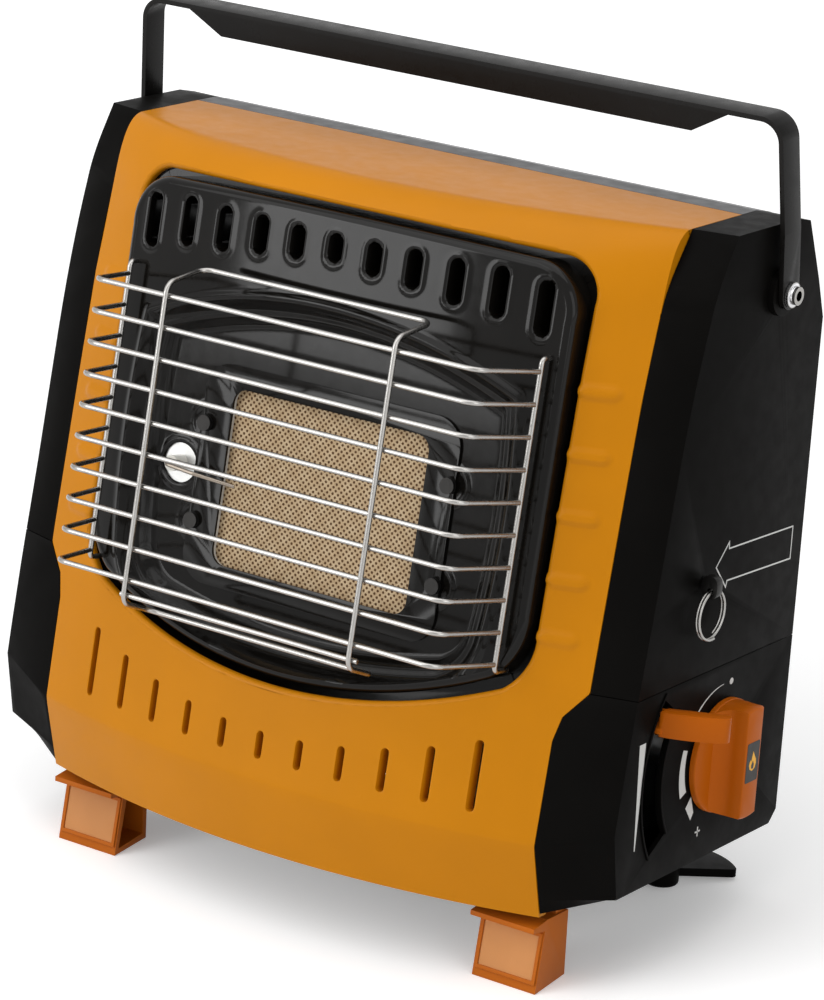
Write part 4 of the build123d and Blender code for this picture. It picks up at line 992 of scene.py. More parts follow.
@dataclass
class FrontPanel:
    """Bowed orange front with its brow, window, vents and ribs."""

    half: float = 131.0
    gap: float = 0.3
    top: float = 252.0
    brow: float = 222.0
    fold: float = 17.5
    hem: float = -13.5
    front: float = -152.6
    back: float = -38.4
    bow: float = 390.0
    hem_front: float = -146.0
    hem_bow: float = 720.0
    hem_ease: tuple[float, float, float] = (0.86, 0.28, 0.35)
    top_front: float = -100.0
    top_bow: float = 686.0
    flat_middle: float = 40.0
    brow_start: float = 190.0
    falls: tuple[Point, ...] = ((17.5, 0.0), (85.0, 0.9), (145.0, 3.0), (190.0, 5.0), (222.0, 8.5))
    flanks: tuple[Point, ...] = (
        (-40.0, 119.5), (59.0, 120.2), (68.6, 122.5), (79.0, 131.0), (400.0, 131.0),
    )
    fold_run: float = 31.6
    brow_run: float = 238.0
    top_run: float = 278.0
    end_run: float = 328.0
    columns: int = 236
    cell: float = 1.12
    edge_round: float = 1.9
    edge_overlap: float = 1.0
    edge_catch: float = 3.5
    vent_catch: float = 1.8
    vent_spare: float = 0.1
    halvings: int = 22
    roll_steps: int = 5
    lip: float = 1.2
    flat_strip: float = 0.25
    liner_back: float = 50.0
    liner_flange: float = 9.0
    cut_reach: Point = (-90.0, 246.0)
    window_reach: tuple[float, float, float] = (110.0, -94.0, 102.0)
    window_edge_reach: Point = (114.0, -85.0)
    vent_reach: Point = (24.0, 62.0)
    vent_press: tuple[Point, ...] = ((0.25, 0.08), (0.1, 0.3), (0.0, 5.2))
    rib_levels: tuple[float, ...] = (97.5, 119.5, 143.5, 167.0, 191.0)
    rib_middle: float = 116.0
    rib_zone: tuple[float, float, float] = (10.0, 90.0, 200.0)
    rib_width: float = 5.2
    rib_length: float = 15.0
    rib_height: float = 1.05
    rib_edge: float = 0.3
    rib_run: float = 1.15
    rim_depth: float = 5.0
    rim_brow: float = 3.5
    rim_top: float = 2.0
    near: float = 0.2
    window: Outline = field(default_factory=lambda: Outline(window_outline(0.0)))
    vents: list[Slot] = field(default_factory=front_vents)
    into: Vector = field(default_factory=lambda: Vector((0, cos(FACE_LEAN), -sin(FACE_LEAN))))
    up: Vector = field(default_factory=lambda: Vector((0, sin(FACE_LEAN), cos(FACE_LEAN))))

    def depth(self, x: float, z: float) -> float:
        """Find the depth of the face, which falls back towards the flanks.

        Args:
            x: Distance across.
            z: Height.

        Returns:
            Depth of the upright case.
        """
        share = max(0.0, abs(x) - self.flat_middle) / (self.half - self.flat_middle)
        slope = tan(FACE_LEAN) * (z - self.fold)
        return self.front + slope + x * x / (2 * self.bow) + between(self.falls, z) * share * share

    def half_at(self, z: float) -> float:
        """Half the panel's width at a height."""
        return between(self.flanks, z) - self.gap

    def height_at(self, row: float) -> float:
        """Height on the straight face at a run up the section."""
        rise = self.brow - self.fold
        return self.fold + rise * (row - self.fold_run) / (self.brow_run - self.fold_run)

    def top_edge(self, x: float) -> float:
        """Depth of the flat top's front edge."""
        return self.top_front + x * x / self.top_bow

    def brow_point(self, x: float, share: float) -> tuple[float, float]:
        """Follow the brow, which leaves the face and meets the flat top smoothly.

        Args:
            x: Distance across.
            share: Run along the brow, from the face (0) to the top (1).

        Returns:
            Depth and height.
        """
        start = self.depth(x, self.brow)
        slope_y = start - self.depth(x, self.brow_start)
        slope_z = self.brow - self.brow_start
        size = hypot(slope_y, slope_z)
        stop = self.top_edge(x)
        chord = hypot(stop - start, self.top - self.brow)
        s = share
        leave, leave_along = 2 * s**3 - 3 * s**2 + 1, s**3 - 2 * s**2 + s
        meet, meet_along = -2 * s**3 + 3 * s**2, s**3 - s**2
        y = leave * start + leave_along * chord * slope_y / size + meet * stop + meet_along * chord
        z = leave * self.brow + leave_along * chord * slope_z / size + meet * self.top
        return y, z

    def surface(self, across: float, row: float) -> Vector:
        """Point of the panel at a share across and a run up its section.

        Args:
            across: Share of the half width, from -1 to 1.
            row: Run in millimetres from the hem's bottom edge.

        Returns:
            Point of the upright case.
        """
        if row < self.fold_run:
            share = row / self.fold_run
            z = self.hem + (self.fold - self.hem) * share
            x = across * self.half_at(z)
            hem = self.hem_front + x * x / self.hem_bow
            begin, run, rise = self.hem_ease
            eased = smooth((share - begin) / run) * rise
            return Vector((x, hem + (self.depth(x, self.fold) - hem) * share + eased, z))
        half = self.half_at(min(self.height_at(row), self.brow))
        return self.front_point(across * half, row)

    def front_point(self, x: float, row: float) -> Vector:
        """Point of the panel above its fold.

        Args:
            x: Distance across.
            row: Run in millimetres from the hem's bottom edge.

        Returns:
            Point of the upright case.
        """
        if row < self.brow_run:
            z = self.height_at(row)
            return Vector((x, self.depth(x, z), z))
        if row < self.top_run:
            share = (row - self.brow_run) / (self.top_run - self.brow_run)
            return Vector((x, *self.brow_point(x, share)))
        edge = self.top_edge(x)
        y = edge + (self.back - edge) * (row - self.top_run) / (self.end_run - self.top_run)
        return Vector((x, y, self.top))

    def face_height(self, point: Vector) -> float:
        """Height of a point up the face plane."""
        back, up = point.y - FACE_START[1], point.z - FACE_START[2]
        return back * sin(FACE_LEAN) + up * cos(FACE_LEAN)

    def on_face(self, x: float, height: float) -> Vector:
        """Find the point of the panel's front at a height up the face plane.

        Args:
            x: Distance across.
            height: Height up the face plane.

        Returns:
            Point of the upright case.
        """
        low, high = self.fold_run, self.top_run
        for _ in range(self.halvings):
            row = (low + high) / 2
            if self.face_height(self.front_point(x, row)) < height:
                low = row
            else:
                high = row
        return self.front_point(x, low)

    def build(self) -> None:
        """Build the panel and stand it in for its node."""
        rows = int(self.end_run / self.cell)
        shape = bmesh.new()
        bmesh.ops.create_grid(shape, x_segments=self.columns, y_segments=rows, size=1.0)
        for vertex in shape.verts:
            vertex.co = self.surface(vertex.co.x, (vertex.co.y + 1) / 2 * self.end_run)
        self.cut(shape)
        self.press_ribs(shape)
        self.roll_window(shape)
        self.press_vents(shape)
        rim = [
            edge for edge in shape.edges
            if edge.is_boundary and all(self.at_rim(vertex.co) for vertex in edge.verts)
        ]
        push_edges(shape, rim, self.rim_inward)
        face_front(shape, Vector((115, -120, 130)))
        placement = Placement("front_panel_skin", "case", "orange_paint", ("front_panel",))
        settle(shape, placement, ORANGE_PAINT, CASE, 50.0, closed=False)

    def cut(self, shape: bmesh.types.BMesh) -> None:
        """Cut the window and the vents, and draw their edges onto the true outlines.

        Args:
            shape: The panel's sheet.
        """
        half, low, high = self.window_reach
        back, top = self.cut_reach
        doomed = []
        for face in shape.faces:
            centre = face.calc_center_median()
            if centre.z > top or centre.y > back:
                continue
            height = self.face_height(centre)
            in_window = abs(centre.x) < half and low < height < high
            in_window = in_window and self.window.holds(centre.x, height)
            if in_window or self.vent_gap(centre) < self.vent_spare:
                doomed.append(face)
        bmesh.ops.delete(shape, geom=doomed, context="FACES")
        press = sum(shift for shift, _ in self.vent_press) + self.flat_strip
        overlap = self.edge_round - self.edge_overlap + self.flat_strip
        drawn = []
        for vertex in [v for v in shape.verts if v.is_boundary]:
            point = vertex.co
            if self.near_vent(point):
                _, spot, outward = self.vent_near(point).gap(point.x, point.z)
                x, z = (spot[axis] + outward[axis] * press for axis in (0, 1))
                vertex.co = Vector((x, self.depth(x, z), z))
                drawn.append(vertex)
            elif self.near_window(point):
                _, spot, inward = self.window.nearest(point.x, self.face_height(point))
                x, level = (spot[axis] - inward[axis] * overlap for axis in (0, 1))
                vertex.co = self.on_face(x, level)
                drawn.append(vertex)
        bmesh.ops.remove_doubles(shape, verts=drawn, dist=0.4)

    def vent_near(self, point: Vector) -> Slot:
        """Vent whose axis is nearest to a point."""
        return min(self.vents, key=lambda slot: abs(slot.x - point.x))

    def vent_gap(self, point: Vector) -> float:
        """Distance of a point outside its nearest vent, endless above and below the row."""
        low, high = self.vent_reach
        return self.vent_near(point).gap(point.x, point.z)[0] if low < point.z < high else inf

    def near_vent(self, point: Vector) -> bool:
        """Whether a boundary point belongs to a vent's edge."""
        return self.vent_gap(point) < self.vent_catch

    def near_window(self, point: Vector) -> bool:
        """Tell whether a boundary point belongs to the window's edge.

        Args:
            point: Place of the point.

        Returns:
            Whether it does.
        """
        half, back = self.window_edge_reach
        if abs(point.x) > half or point.y > back:
            return False
        return abs(self.window.nearest(point.x, self.face_height(point))[0]) < self.edge_catch

    def press_ribs(self, shape: bmesh.types.BMesh) -> None:
        """Press the short ribs beside the window.

        Args:
            shape: The panel's sheet.
        """
        ribs = [
            Slot(level, self.rib_middle * side, self.rib_width, self.rib_length)
            for side in (-1, 1) for level in self.rib_levels
        ]
        reach, low, high = self.rib_zone
        for vertex in shape.verts:
            x, z = vertex.co.x, vertex.co.z
            if abs(abs(x) - self.rib_middle) < reach and low < z < high:
                gap = min(rib.gap(z, x)[0] for rib in ribs)
                vertex.co.y -= self.rib_height * smooth((self.rib_edge - gap) / self.rib_run)

    def roll_window(self, shape: bmesh.types.BMesh) -> None:
        """Roll the window's edge inwards, give it a lip and line it.

        Args:
            shape: The panel's sheet.
        """
        memory: dict[tuple[float, float, float], tuple[Vector, Vector]] = {}

        def key(point: Vector) -> tuple[float, float, float]:
            """Rounded place of a vertex."""
            return (round(point.x, 3), round(point.y, 3), round(point.z, 3))

        def widen(point: Vector) -> Vector:
            """Find the next place of the edge on the flat strip before the roll.

            Args:
                point: Its last place.

            Returns:
                Its new place.
            """
            start, direction = memory[key(point)]
            place = start + direction * self.flat_strip
            memory[key(place)] = (place, direction)
            return place

        edges = open_edges(shape, self.near_window)
        for vertex in {v for edge in edges for v in edge.verts}:
            point = vertex.co.copy()
            memory[key(point)] = (point, self.inward(point))
        edges = push_edges(shape, edges, widen)
        for step in range(1, self.roll_steps + 1):
            turn = pi / 2 * step / self.roll_steps

            def roll(point: Vector, turn: float = turn) -> Vector:
                """Find the next place of the rolled edge.

                Args:
                    point: Its last place.
                    turn: How far round the roll it is, in radians.

                Returns:
                    Its new place.
                """
                start, direction = memory[key(point)]
                place = start + direction * self.edge_round * sin(turn)
                place = place + self.into * self.edge_round * (1 - cos(turn))
                memory[key(place)] = (start, direction)
                return place

            edges = push_edges(shape, edges, roll)
        self.line_window_shade(push_edges(shape, edges, lambda point: point + self.into * self.lip))

    def press_vents(self, shape: bmesh.types.BMesh) -> None:
        """Turn the vents' edges inwards.

        Args:
            shape: The panel's sheet.
        """
        edges = open_edges(shape, self.near_vent)
        for inward_step, depth_step in ((self.flat_strip, 0.0), *self.vent_press):

            def press(
                point: Vector, shift: float = inward_step, deep: float = depth_step
            ) -> Vector:
                """Find the next place of a vent's edge.

                Args:
                    point: Its last place.
                    shift: How far it moves towards the vent's middle.
                    deep: How far it moves inwards.

                Returns:
                    Its new place.
                """
                _, _, outward = self.vent_near(point).gap(point.x, point.z)
                moved = point - Vector((outward[0] * shift, 0, outward[1] * shift))
                return moved + self.into * deep

            edges = push_edges(shape, edges, press)

    def inward(self, point: Vector) -> Vector:
        """Direction from the window's edge towards its middle, in the face plane."""
        _, _, across = self.window.nearest(point.x, self.face_height(point))
        return Vector((across[0], 0, 0)) + self.up * across[1]

    def line_window_shade(self, edges: list) -> None:
        """Run a black liner from the rolled lip back to the pan's skirt. It stands partly for the
        pan's black flange and partly as a dark sheet of painted shade in the gap behind the lip.

        Args:
            edges: Open edges at the back of the lip.
        """
        shape = bmesh.new()
        twins = {
            vertex: shape.verts.new(vertex.co)
            for vertex in {v for edge in edges for v in edge.verts}
        }
        loop = [shape.edges.new([twins[vertex] for vertex in edge.verts]) for edge in edges]

        def reach(point: Vector) -> Vector:
            """Place at the liner's back."""
            return point + self.into * (self.liner_back - self.into.dot(point - FACE_ORIGIN))

        back = push_edges(shape, loop, reach)
        push_edges(shape, back, lambda point: point + self.inward(point) * self.liner_flange)
        bmesh.ops.recalc_face_normals(shape, faces=shape.faces[:])
        sill = min(shape.faces, key=lambda face: face.calc_center_median().z)
        if sill.normal.z < 0:
            bmesh.ops.reverse_faces(shape, faces=shape.faces[:])
        # Black enamel sheet: partly the pan's real flange, partly painted shade in the gap behind
        # the window's lip.
        placement = Placement("window_liner_shade_sheet", "case", "black_enamel")
        settle(shape, placement, ENAMEL, CASE, 40.0, closed=False)

    def at_rim(self, point: Vector) -> bool:
        """Whether a point lies on the panel's outer edge."""
        side = abs(abs(point.x) - self.half_at(point.z)) < 2 * self.near
        return side or point.z < self.hem + self.near or point.y > self.back - self.near

    def rim_inward(self, point: Vector) -> Vector:
        """Move a point of the outer edge to where the edge is turned back.

        Args:
            point: Point of the outer edge.

        Returns:
            Its new place.
        """
        if point.z > self.top - self.near:
            return point - Vector((0, 0, self.rim_top))
        if point.z > self.brow:
            return point + Vector((0, self.rim_brow, -self.rim_brow))
        return point + Vector((0, self.rim_depth, 0))


# ---------------------------------------------------------------------------------------
# Reflector and burner
# ---------------------------------------------------------------------------------------


@dataclass
class Reflector:
    """Enamelled pan: pillowed rim, rimmed vents and the bowl round the plaque."""

    cell: float = 0.82
    half_width: float = 106.0
    half_height: float = 96.0
    middle: float = 4.0
    edge_gap: float = 3.5
    front: float = 28.5
    bow: float = 600.0
    shelf: float = 38.2
    floor: float = 44.0
    lip_reach: float = 3.0
    wall_start: float = 0.3
    ledge_start: float = 6.6
    wall_run: float = 5.6
    bowl_lip: Bead = Bead(-0.6, 2.4, 1.0)
    shelf_bead: Bead = Bead(6.2, 1.6, 0.45)
    vent_bead: Bead = Bead(1.1, 1.1, 0.5)
    electrode_bead: Bead = Bead(9.3, 1.3, 0.9)
    screw_bead: Bead = Bead(7.4, 1.2, 0.7)
    vents: tuple[float, ...] = (0.0, 18.1, 36.2, 54.9, 73.6, 92.6)
    centres: tuple[float, ...] = (82.3, 81.4, 80.9, 79.7, 79.3, 76.6)
    lengths: tuple[float, ...] = (11.5, 13.5, 15.5, 18.0, 19.8, 21.8)
    vent_width: float = 6.6
    vent_level: float = 60.0
    vent_dip: float = 0.5
    vent_dip_run: float = 0.8
    hole_depth: float = 14.0
    hole_back: float = 50.0
    roll: float = 3.5
    roll_steps: int = 9
    skirt: float = 50.2
    flat_strip: float = 0.3
    plaque_centre: float = -18.0
    opening: Point = (104.0, 81.0)
    electrode: Point = (-69.3, -17.5)
    electrode_hole: float = 8.0
    electrode_reach: float = 12.0
    edge_reach: float = 2.0
    smoothings: int = 2
    screws: tuple[Point, ...] = ((-58.5, 1.0), (58.5, 1.0), (-58.5, -38.5), (58.5, -38.5))

    def slots(self) -> list[Slot]:
        """Lay out the vents along the top of the pan.

        Returns:
            The vents.
        """
        made = []
        for x, centre, length in zip(self.vents, self.centres, self.lengths):
            for side in (-1, 1) if x else (1,):
                made.append(Slot(side * x, centre, self.vent_width, length))
        return made

    def depth(self, x: float, z: float, bowl: Outline, slots: list[Slot]) -> float:
        """Find the depth of the enamelled surface behind the guard's front.

        Args:
            x: Distance across.
            z: Height up the face.
            bowl: Outline of the bowl.
            slots: The vents.

        Returns:
            Depth in millimetres.
        """
        surface = self.front + x * x / (2 * self.bow)
        into = bowl.nearest(x, z)[0]
        if into > -self.lip_reach:
            wall = smooth((into - self.wall_start) / self.wall_run)
            ledge = smooth((into - self.ledge_start) / self.wall_run)
            deep = surface + (self.shelf - surface) * wall + (self.floor - self.shelf) * ledge
            surface = deep - self.bowl_lip.rise(into) * (1 - wall)
            surface -= self.shelf_bead.rise(into)
        if z > self.vent_level:
            gap = min(slot.gap(x, z)[0] for slot in slots)
            surface -= self.vent_bead.rise(gap)
            surface += self.vent_dip * smooth((self.vent_dip - gap) / self.vent_dip_run)
        surface -= self.electrode_bead.rise(self.from_electrode(x, z))
        for spot_x, spot_z in self.screws:
            surface -= self.screw_bead.rise(hypot(x - spot_x, z - spot_z))
        return surface

    def from_electrode(self, x: float, z: float) -> float:
        """Distance from the electrode's middle."""
        return hypot(x - self.electrode[0], z - self.electrode[1])

    def cut_away(self, x: float, z: float, edge: Outline, slots: list[Slot]) -> bool:
        """Tell whether a place is cut away from the pan.

        Args:
            x: Distance across.
            z: Height up the face.
            edge: Outline of the pan's flat front.
            slots: The vents.

        Returns:
            Whether there is no metal.
        """
        width, height = self.opening
        in_vent = z > self.vent_level and any(slot.gap(x, z)[0] < 0 for slot in slots)
        in_opening = abs(x) < width / 2 and abs(z - self.plaque_centre) < height / 2
        in_hole = self.from_electrode(x, z) < self.electrode_hole
        return in_vent or in_opening or in_hole or not edge.holds(x, z)

    def build(self) -> None:
        """Build the pan and stand it in for its node."""
        edge = Outline(window_outline(self.edge_gap + self.roll))
        bowl = Outline(bowl_outline(0.0))
        slots = self.slots()
        columns, rows = (int(2 * half / self.cell) for half in (self.half_width, self.half_height))
        shape = bmesh.new()
        bmesh.ops.create_grid(shape, x_segments=columns, y_segments=rows, size=1.0)
        for vertex in shape.verts:
            x, z = vertex.co.x * self.half_width, self.middle + vertex.co.y * self.half_height
            vertex.co = Vector((x, 0.0, z))
        doomed = []
        for face in shape.faces:
            centre = face.calc_center_median()
            if self.cut_away(centre.x, centre.z, edge, slots):
                doomed.append(face)
        bmesh.ops.delete(shape, geom=doomed, context="FACES")
        border = [v for v in shape.verts if v.is_boundary]
        for vertex in border:
            self.draw_to_edge(vertex, edge, slots)
        bmesh.ops.remove_doubles(shape, verts=border, dist=0.25)
        for vertex in shape.verts:
            point = vertex.co
            point.y = self.depth(point.x, point.z, bowl, slots)
        inner = [vertex for vertex in shape.verts if not vertex.is_boundary]
        for _ in range(self.smoothings):
            bmesh.ops.smooth_vert(
                shape, verts=inner, factor=0.5, use_axis_x=False, use_axis_y=True,
                use_axis_z=False,
            )
        self.turn_back(shape, edge)
        face_front(shape, Vector((0, 28, 68)))
        placement = Placement("reflector_enamelled", "case", "black_enamel", ("reflector",))
        settle(shape, placement, ENAMEL, FACE, 60.0, closed=False)

    def draw_to_edge(self, vertex: bmesh.types.BMVert, edge: Outline, slots: list[Slot]) -> None:
        """Move a boundary vertex onto the outline that it belongs to.

        Args:
            vertex: The vertex.
            edge: Outline of the pan's flat front.
            slots: The vents.
        """
        x, z = vertex.co.x, vertex.co.z
        centre_x, centre_z = self.electrode
        away = self.from_electrode(x, z)
        if away < self.electrode_reach:
            vertex.co.x = centre_x + (x - centre_x) / away * self.electrode_hole
            vertex.co.z = centre_z + (z - centre_z) / away * self.electrode_hole
            return
        inside, spot, _ = edge.nearest(x, z)
        gap, rim, _ = min((slot.gap(x, z) for slot in slots), key=lambda found: abs(found[0]))
        if z > self.vent_level and abs(gap) < abs(inside):
            inside, spot = gap, rim
        if abs(inside) < self.edge_reach:
            vertex.co.x, vertex.co.z = spot

    def turn_back(self, shape: bmesh.types.BMesh, edge: Outline) -> None:
        """Give the pan its skirt and the vents their depth.

        Args:
            shape: The pan's sheet.
            edge: Outline of its flat front.
        """
        reach_x, reach_z = (size / 2 + self.edge_reach for size in self.opening)

        def at_opening(point: Vector) -> bool:
            """Whether a point lies on the plaque's opening."""
            return abs(point.x) < reach_x and abs(point.z - self.plaque_centre) < reach_z

        def at_rim(point: Vector) -> bool:
            """Whether a point lies on the edge of the pan's flat front."""
            return abs(edge.nearest(point.x, point.z)[0]) < 0.6

        def deepen(point: Vector) -> Vector:
            """Place at the back of a hole's wall."""
            return Vector((point.x, min(point.y + self.hole_depth, self.hole_back), point.z))

        holes = [
            item for item in shape.edges
            if item.is_boundary and not all(at_opening(v.co) or at_rim(v.co) for v in item.verts)
        ]
        push_edges(shape, holes, deepen)
        ring = open_edges(shape, at_rim)
        steps = self.roll_steps
        for turn in (0.0, *(pi / 2 * step / steps for step in range(1, steps + 1))):

            def curl(point: Vector, turn: float = turn) -> Vector:
                """Find the next place on the rolled rim.

                Args:
                    point: Its last place.
                    turn: How far round the roll it is, in radians.

                Returns:
                    Its new place.
                """
                _, spot, inward = edge.nearest(point.x, point.z)
                away = self.flat_strip + self.roll * sin(turn)
                x, z = (spot[axis] - inward[axis] * away for axis in (0, 1))
                front = self.front + spot[0] ** 2 / (2 * self.bow)
                return Vector((x, front + self.roll * (1 - cos(turn)), z))

            ring = push_edges(shape, ring, curl)
        push_edges(shape, ring, lambda point: Vector((point.x, self.skirt, point.z)))


@dataclass
class Burner:
    """Ceramic plaque with its rounded corners, and the frame that holds it."""

    width: float = 102.0
    height: float = 79.0
    centre: float = -18.0
    front: float = 46.0
    thickness: float = 13.0
    corner: float = 8.0

    def build(self) -> None:
        """Build the plaque and soften its frame."""
        shape = bmesh.new()
        bmesh.ops.create_cube(shape, size=1.0)
        bmesh.ops.scale(shape, vec=(self.width, self.thickness, self.height), verts=shape.verts[:])
        bmesh.ops.translate(
            shape, vec=(0, self.front + self.thickness / 2, self.centre), verts=shape.verts[:]
        )
        uprights = [e for e in shape.edges if abs((e.verts[0].co - e.verts[1].co).y) > 1]
        bmesh.ops.bevel(
            shape, geom=uprights, offset=self.corner, segments=8, profile=0.5, affect="EDGES",
            material=-1,
        )
        placement = Placement("ceramic_plaque_ported", "case", "plaque_ceramic", ("ceramic_plaque",))
        piece = settle(shape, placement, PlaqueCeramic(), FACE, 40.0)
        round_edges(piece, 0.6)
        softened("burner_frame", "case", "black_enamel", ENAMEL, 0.5, angle=40)


@dataclass
class Guard:
    """Short wire welded between the two uprights of the guard's front frame."""

    half: float = 57.0
    level: float = -65.0
    radius: float = 1.05

    def build(self) -> None:
        """Build the wire."""
        shape = bmesh.new()
        end = add_disc(shape, self.radius, 16)
        bmesh.ops.translate(shape, verts=end, vec=(-self.half, 0, self.level))
        raise_faces(shape, shape.faces[:], (2 * self.half, 0, 0))
        placement = Placement("guard_short_wire", "case", "chrome_wire")
        round_edges(settle(shape, placement, CHROME, FACE, 50.0), 0.35, 2, 60.0)


# ---------------------------------------------------------------------------------------
# Controls
# ---------------------------------------------------------------------------------------


def raised_ring(
    corners: Sequence[Vector], outward: Vector, width: float, height: float
) -> bmesh.types.BMesh:
    """Build a closed raised line along the inside of an outline.

    Args:
        corners: Corners of the outline, on the surface.
        outward: Direction that the line stands out in.
        width: Width of the line.
        height: Height of the line.

    Returns:
        The line's shape.
    """
    normal = geometry.normal(corners)
    count = len(corners)
    inner = []
    for index, corner in enumerate(corners):
        before = normal.cross(corner - corners[index - 1]).normalized()
        after = normal.cross(corners[(index + 1) % count] - corner).normalized()
        inner.append(corner + (before + after) * width / (1 + before.dot(after)))
    shape = bmesh.new()
    rings = [
        [shape.verts.new(point + outward * lift) for point in loop]
        for loop, lift in ((corners, 0.0), (corners, height), (inner, height), (inner, 0.0))
    ]
    for first, second in zip(rings, rings[1:] + rings[:1]):
        for index in range(count):
            after = (index + 1) % count
            shape.faces.new((first[index], first[after], second[after], second[index]))
    return shape


def print_shape(
    name: str, body: str, outline: Sequence[Point], x: float, height: float, finish: Finish,
    centre: Point = (0.0, 0.0), corner: float = 0.0,
) -> bpy.types.Object:
    """Print a flat mark on a surface that faces right.

    Args:
        name: Name of the piece.
        body: Body that it rides on.
        outline: Depth and height of its corners.
        x: Where the surface is.
        height: Thickness of the ink.
        finish: Ink.
        centre: Point that the outline is drawn from.
        corner: Rounding of the corners.

    Returns:
        The new object.
    """
    shape = bmesh.new()
    points = [Vector((x, y + centre[0], z + centre[1])) for y, z in outline]
    face = shape.faces.new([shape.verts.new(point) for point in points])
    if corner:
        round_corners(shape, face, corner)
    raise_faces(shape, shape.faces[:], (height, 0, 0))
    return settle(shape, Placement(name, body, "black_plastic"), finish, CASE, 30.0)


def band(
    centre: Point, radius: float, half: tuple[float, float], turns: tuple[float, float],
    steps: int = 28,
) -> list[Point]:
    """Draw a tapered band along an arc.

    Args:
        centre: Centre of the arc.
        radius: Radius of its middle.
        half: Half width at its start and at its end.
        turns: Start and end in degrees.
        steps: Number of steps.

    Returns:
        Corners of the band.
    """
    outer, inner = [], []
    for step in range(steps + 1):
        share = step / steps
        turn = radians(turns[0] + (turns[1] - turns[0]) * share)
        width = half[0] + (half[1] - half[0]) * share
        for rim, size in ((outer, radius + width), (inner, radius - width)):
            rim.append((centre[0] + size * cos(turn), centre[1] + size * sin(turn)))
    return outer + inner[::-1]


@dataclass
class Knob:
    """Gas knob: a thin disc with a flared grip across it."""

    axis: Point = (-50.5, 41.5)
    start: float = 149.6
    disc: float = 2.5
    disc_round: float = 0.7
    radius: float = 23.0
    grip: float = 6.25
    grip_inset: float = 0.3
    flare: float = 4.6
    flare_power: float = 2.2
    flare_height: float = 0.62
    flare_steps: int = 6
    end_steps: int = 12
    side_steps: int = 16
    rise: float = 12.0
    label_height: float = 0.12

    def loop(self, half: float, radius: float, x: float) -> list[Vector]:
        """Draw the grip at one height: two straight sides and two round ends.

        Args:
            half: Half the grip's width.
            radius: Radius of its round ends.
            x: Height along the knob's axis.

        Returns:
            Points round the outline.
        """
        points: list[Vector] = []
        reach = sqrt(radius * radius - half * half)
        spread = asin(min(1.0, half / radius))
        for side in (1, -1):
            for step in range(self.end_steps + 1):
                turn = side * pi / 2 - spread + 2 * spread * step / self.end_steps
                points.append(Vector((x, radius * cos(turn), radius * sin(turn))))
            for step in range(1, self.side_steps):
                z = side * reach - 2 * side * reach * step / self.side_steps
                points.append(Vector((x, -side * half, z)))
        return points

    def sections(self) -> list[Point]:
        """List the grip's sections from the disc up.

        Returns:
            Half width of each section, and its height along the axis.
        """
        base, steps = self.start + self.disc, self.flare_steps
        top = base + self.rise
        made = [
            (
                self.grip + self.flare * (1 - step / steps) ** self.flare_power,
                base - 0.1 + self.rise * self.flare_height * step / steps,
            )
            for step in range(steps + 1)
        ]
        for narrower, lower in ((0.25, 0.9), (0.55, 0.25), (1.15, 0.0)):
            made.append((self.grip - narrower, top - lower))
        return made

    def add_grip(self, shape: bmesh.types.BMesh) -> None:
        """Stack the grip's sections on the disc.

        Args:
            shape: Mesh that it goes into.
        """
        first, *others = self.sections()
        loop = self.loop(first[0], self.radius - self.grip_inset, first[1])
        foot = [shape.verts.new(point) for point in loop]
        edges = [shape.edges.new(pair) for pair in zip(foot, [*foot[1:], foot[0]])]
        ring = foot
        for number, (half, x) in enumerate(others, 1):
            shrink = max(0.0, number - self.flare_steps - 1) * 0.5
            loop = self.loop(half, self.radius - self.grip_inset - shrink, x)
            edges = push_edges(shape, edges, lambda point: point)
            fresh = {vertex for edge in edges for vertex in edge.verts}
            ring = [
                next(e.other_vert(old) for e in old.link_edges if e.other_vert(old) in fresh)
                for old in ring
            ]
            for vertex, point in zip(ring, loop):
                vertex.co = point
        bmesh.ops.contextual_create(shape, geom=ring)
        bmesh.ops.contextual_create(shape, geom=foot)

    def build(self) -> None:
        """Build the knob and its label."""
        shape = bmesh.new()
        bmesh.ops.translate(shape, verts=add_disc(shape, self.radius, 120), vec=(self.start, 0, 0))
        raised = raise_faces(shape, shape.faces[:], (self.disc, 0, 0))
        rims = [e for e in shape.edges if all(v in raised for v in e.verts)]
        bmesh.ops.bevel(
            shape, geom=rims, offset=self.disc_round, segments=3, profile=0.5, affect="EDGES",
            material=-1,
        )
        self.add_grip(shape)
        placement = Placement("control_knob_grip", "knob", "orange_plastic", ("control_knob",))
        settle(shape, placement, ORANGE_PLASTIC, CASE @ Matrix.Translation((0, *self.axis)), 38.0)
        self.label(self.start + self.disc + self.rise)

    def label(self, top: float) -> None:
        """Print the dark label with a plain flame on the grip.

        Args:
            top: Height of the grip's top along the axis.
        """
        plate = [(-4.6, -7.6), (4.6, -7.6), (4.6, 8.8), (-4.6, 8.8)]
        thick = self.label_height
        print_shape("knob_label", "knob", plate, top, thick, DARK_PRINT, self.axis, 0.8)
        flame = [
            (0.0, 5.0), (1.1, 3.1), (2.3, 1.4), (2.6, -0.4), (1.9, -2.2), (0.0, -3.1),
            (-1.9, -2.2), (-2.6, -0.5), (-2.2, 0.9), (-1.5, 1.7), (-0.9, 0.9), (-0.7, 2.6),
        ]
        print_shape("knob_flame", "knob", flame, top + thick, 0.05, FLAME_PRINT, self.axis)
        core = [(0.1, 1.2), (1.0, -0.5), (0.8, -1.9), (0.0, -2.4), (-0.9, -1.8), (-0.9, -0.7)]
        print_shape("knob_flame_core", "knob", core, top + 0.17, 0.04, DARK_PRINT, self.axis)


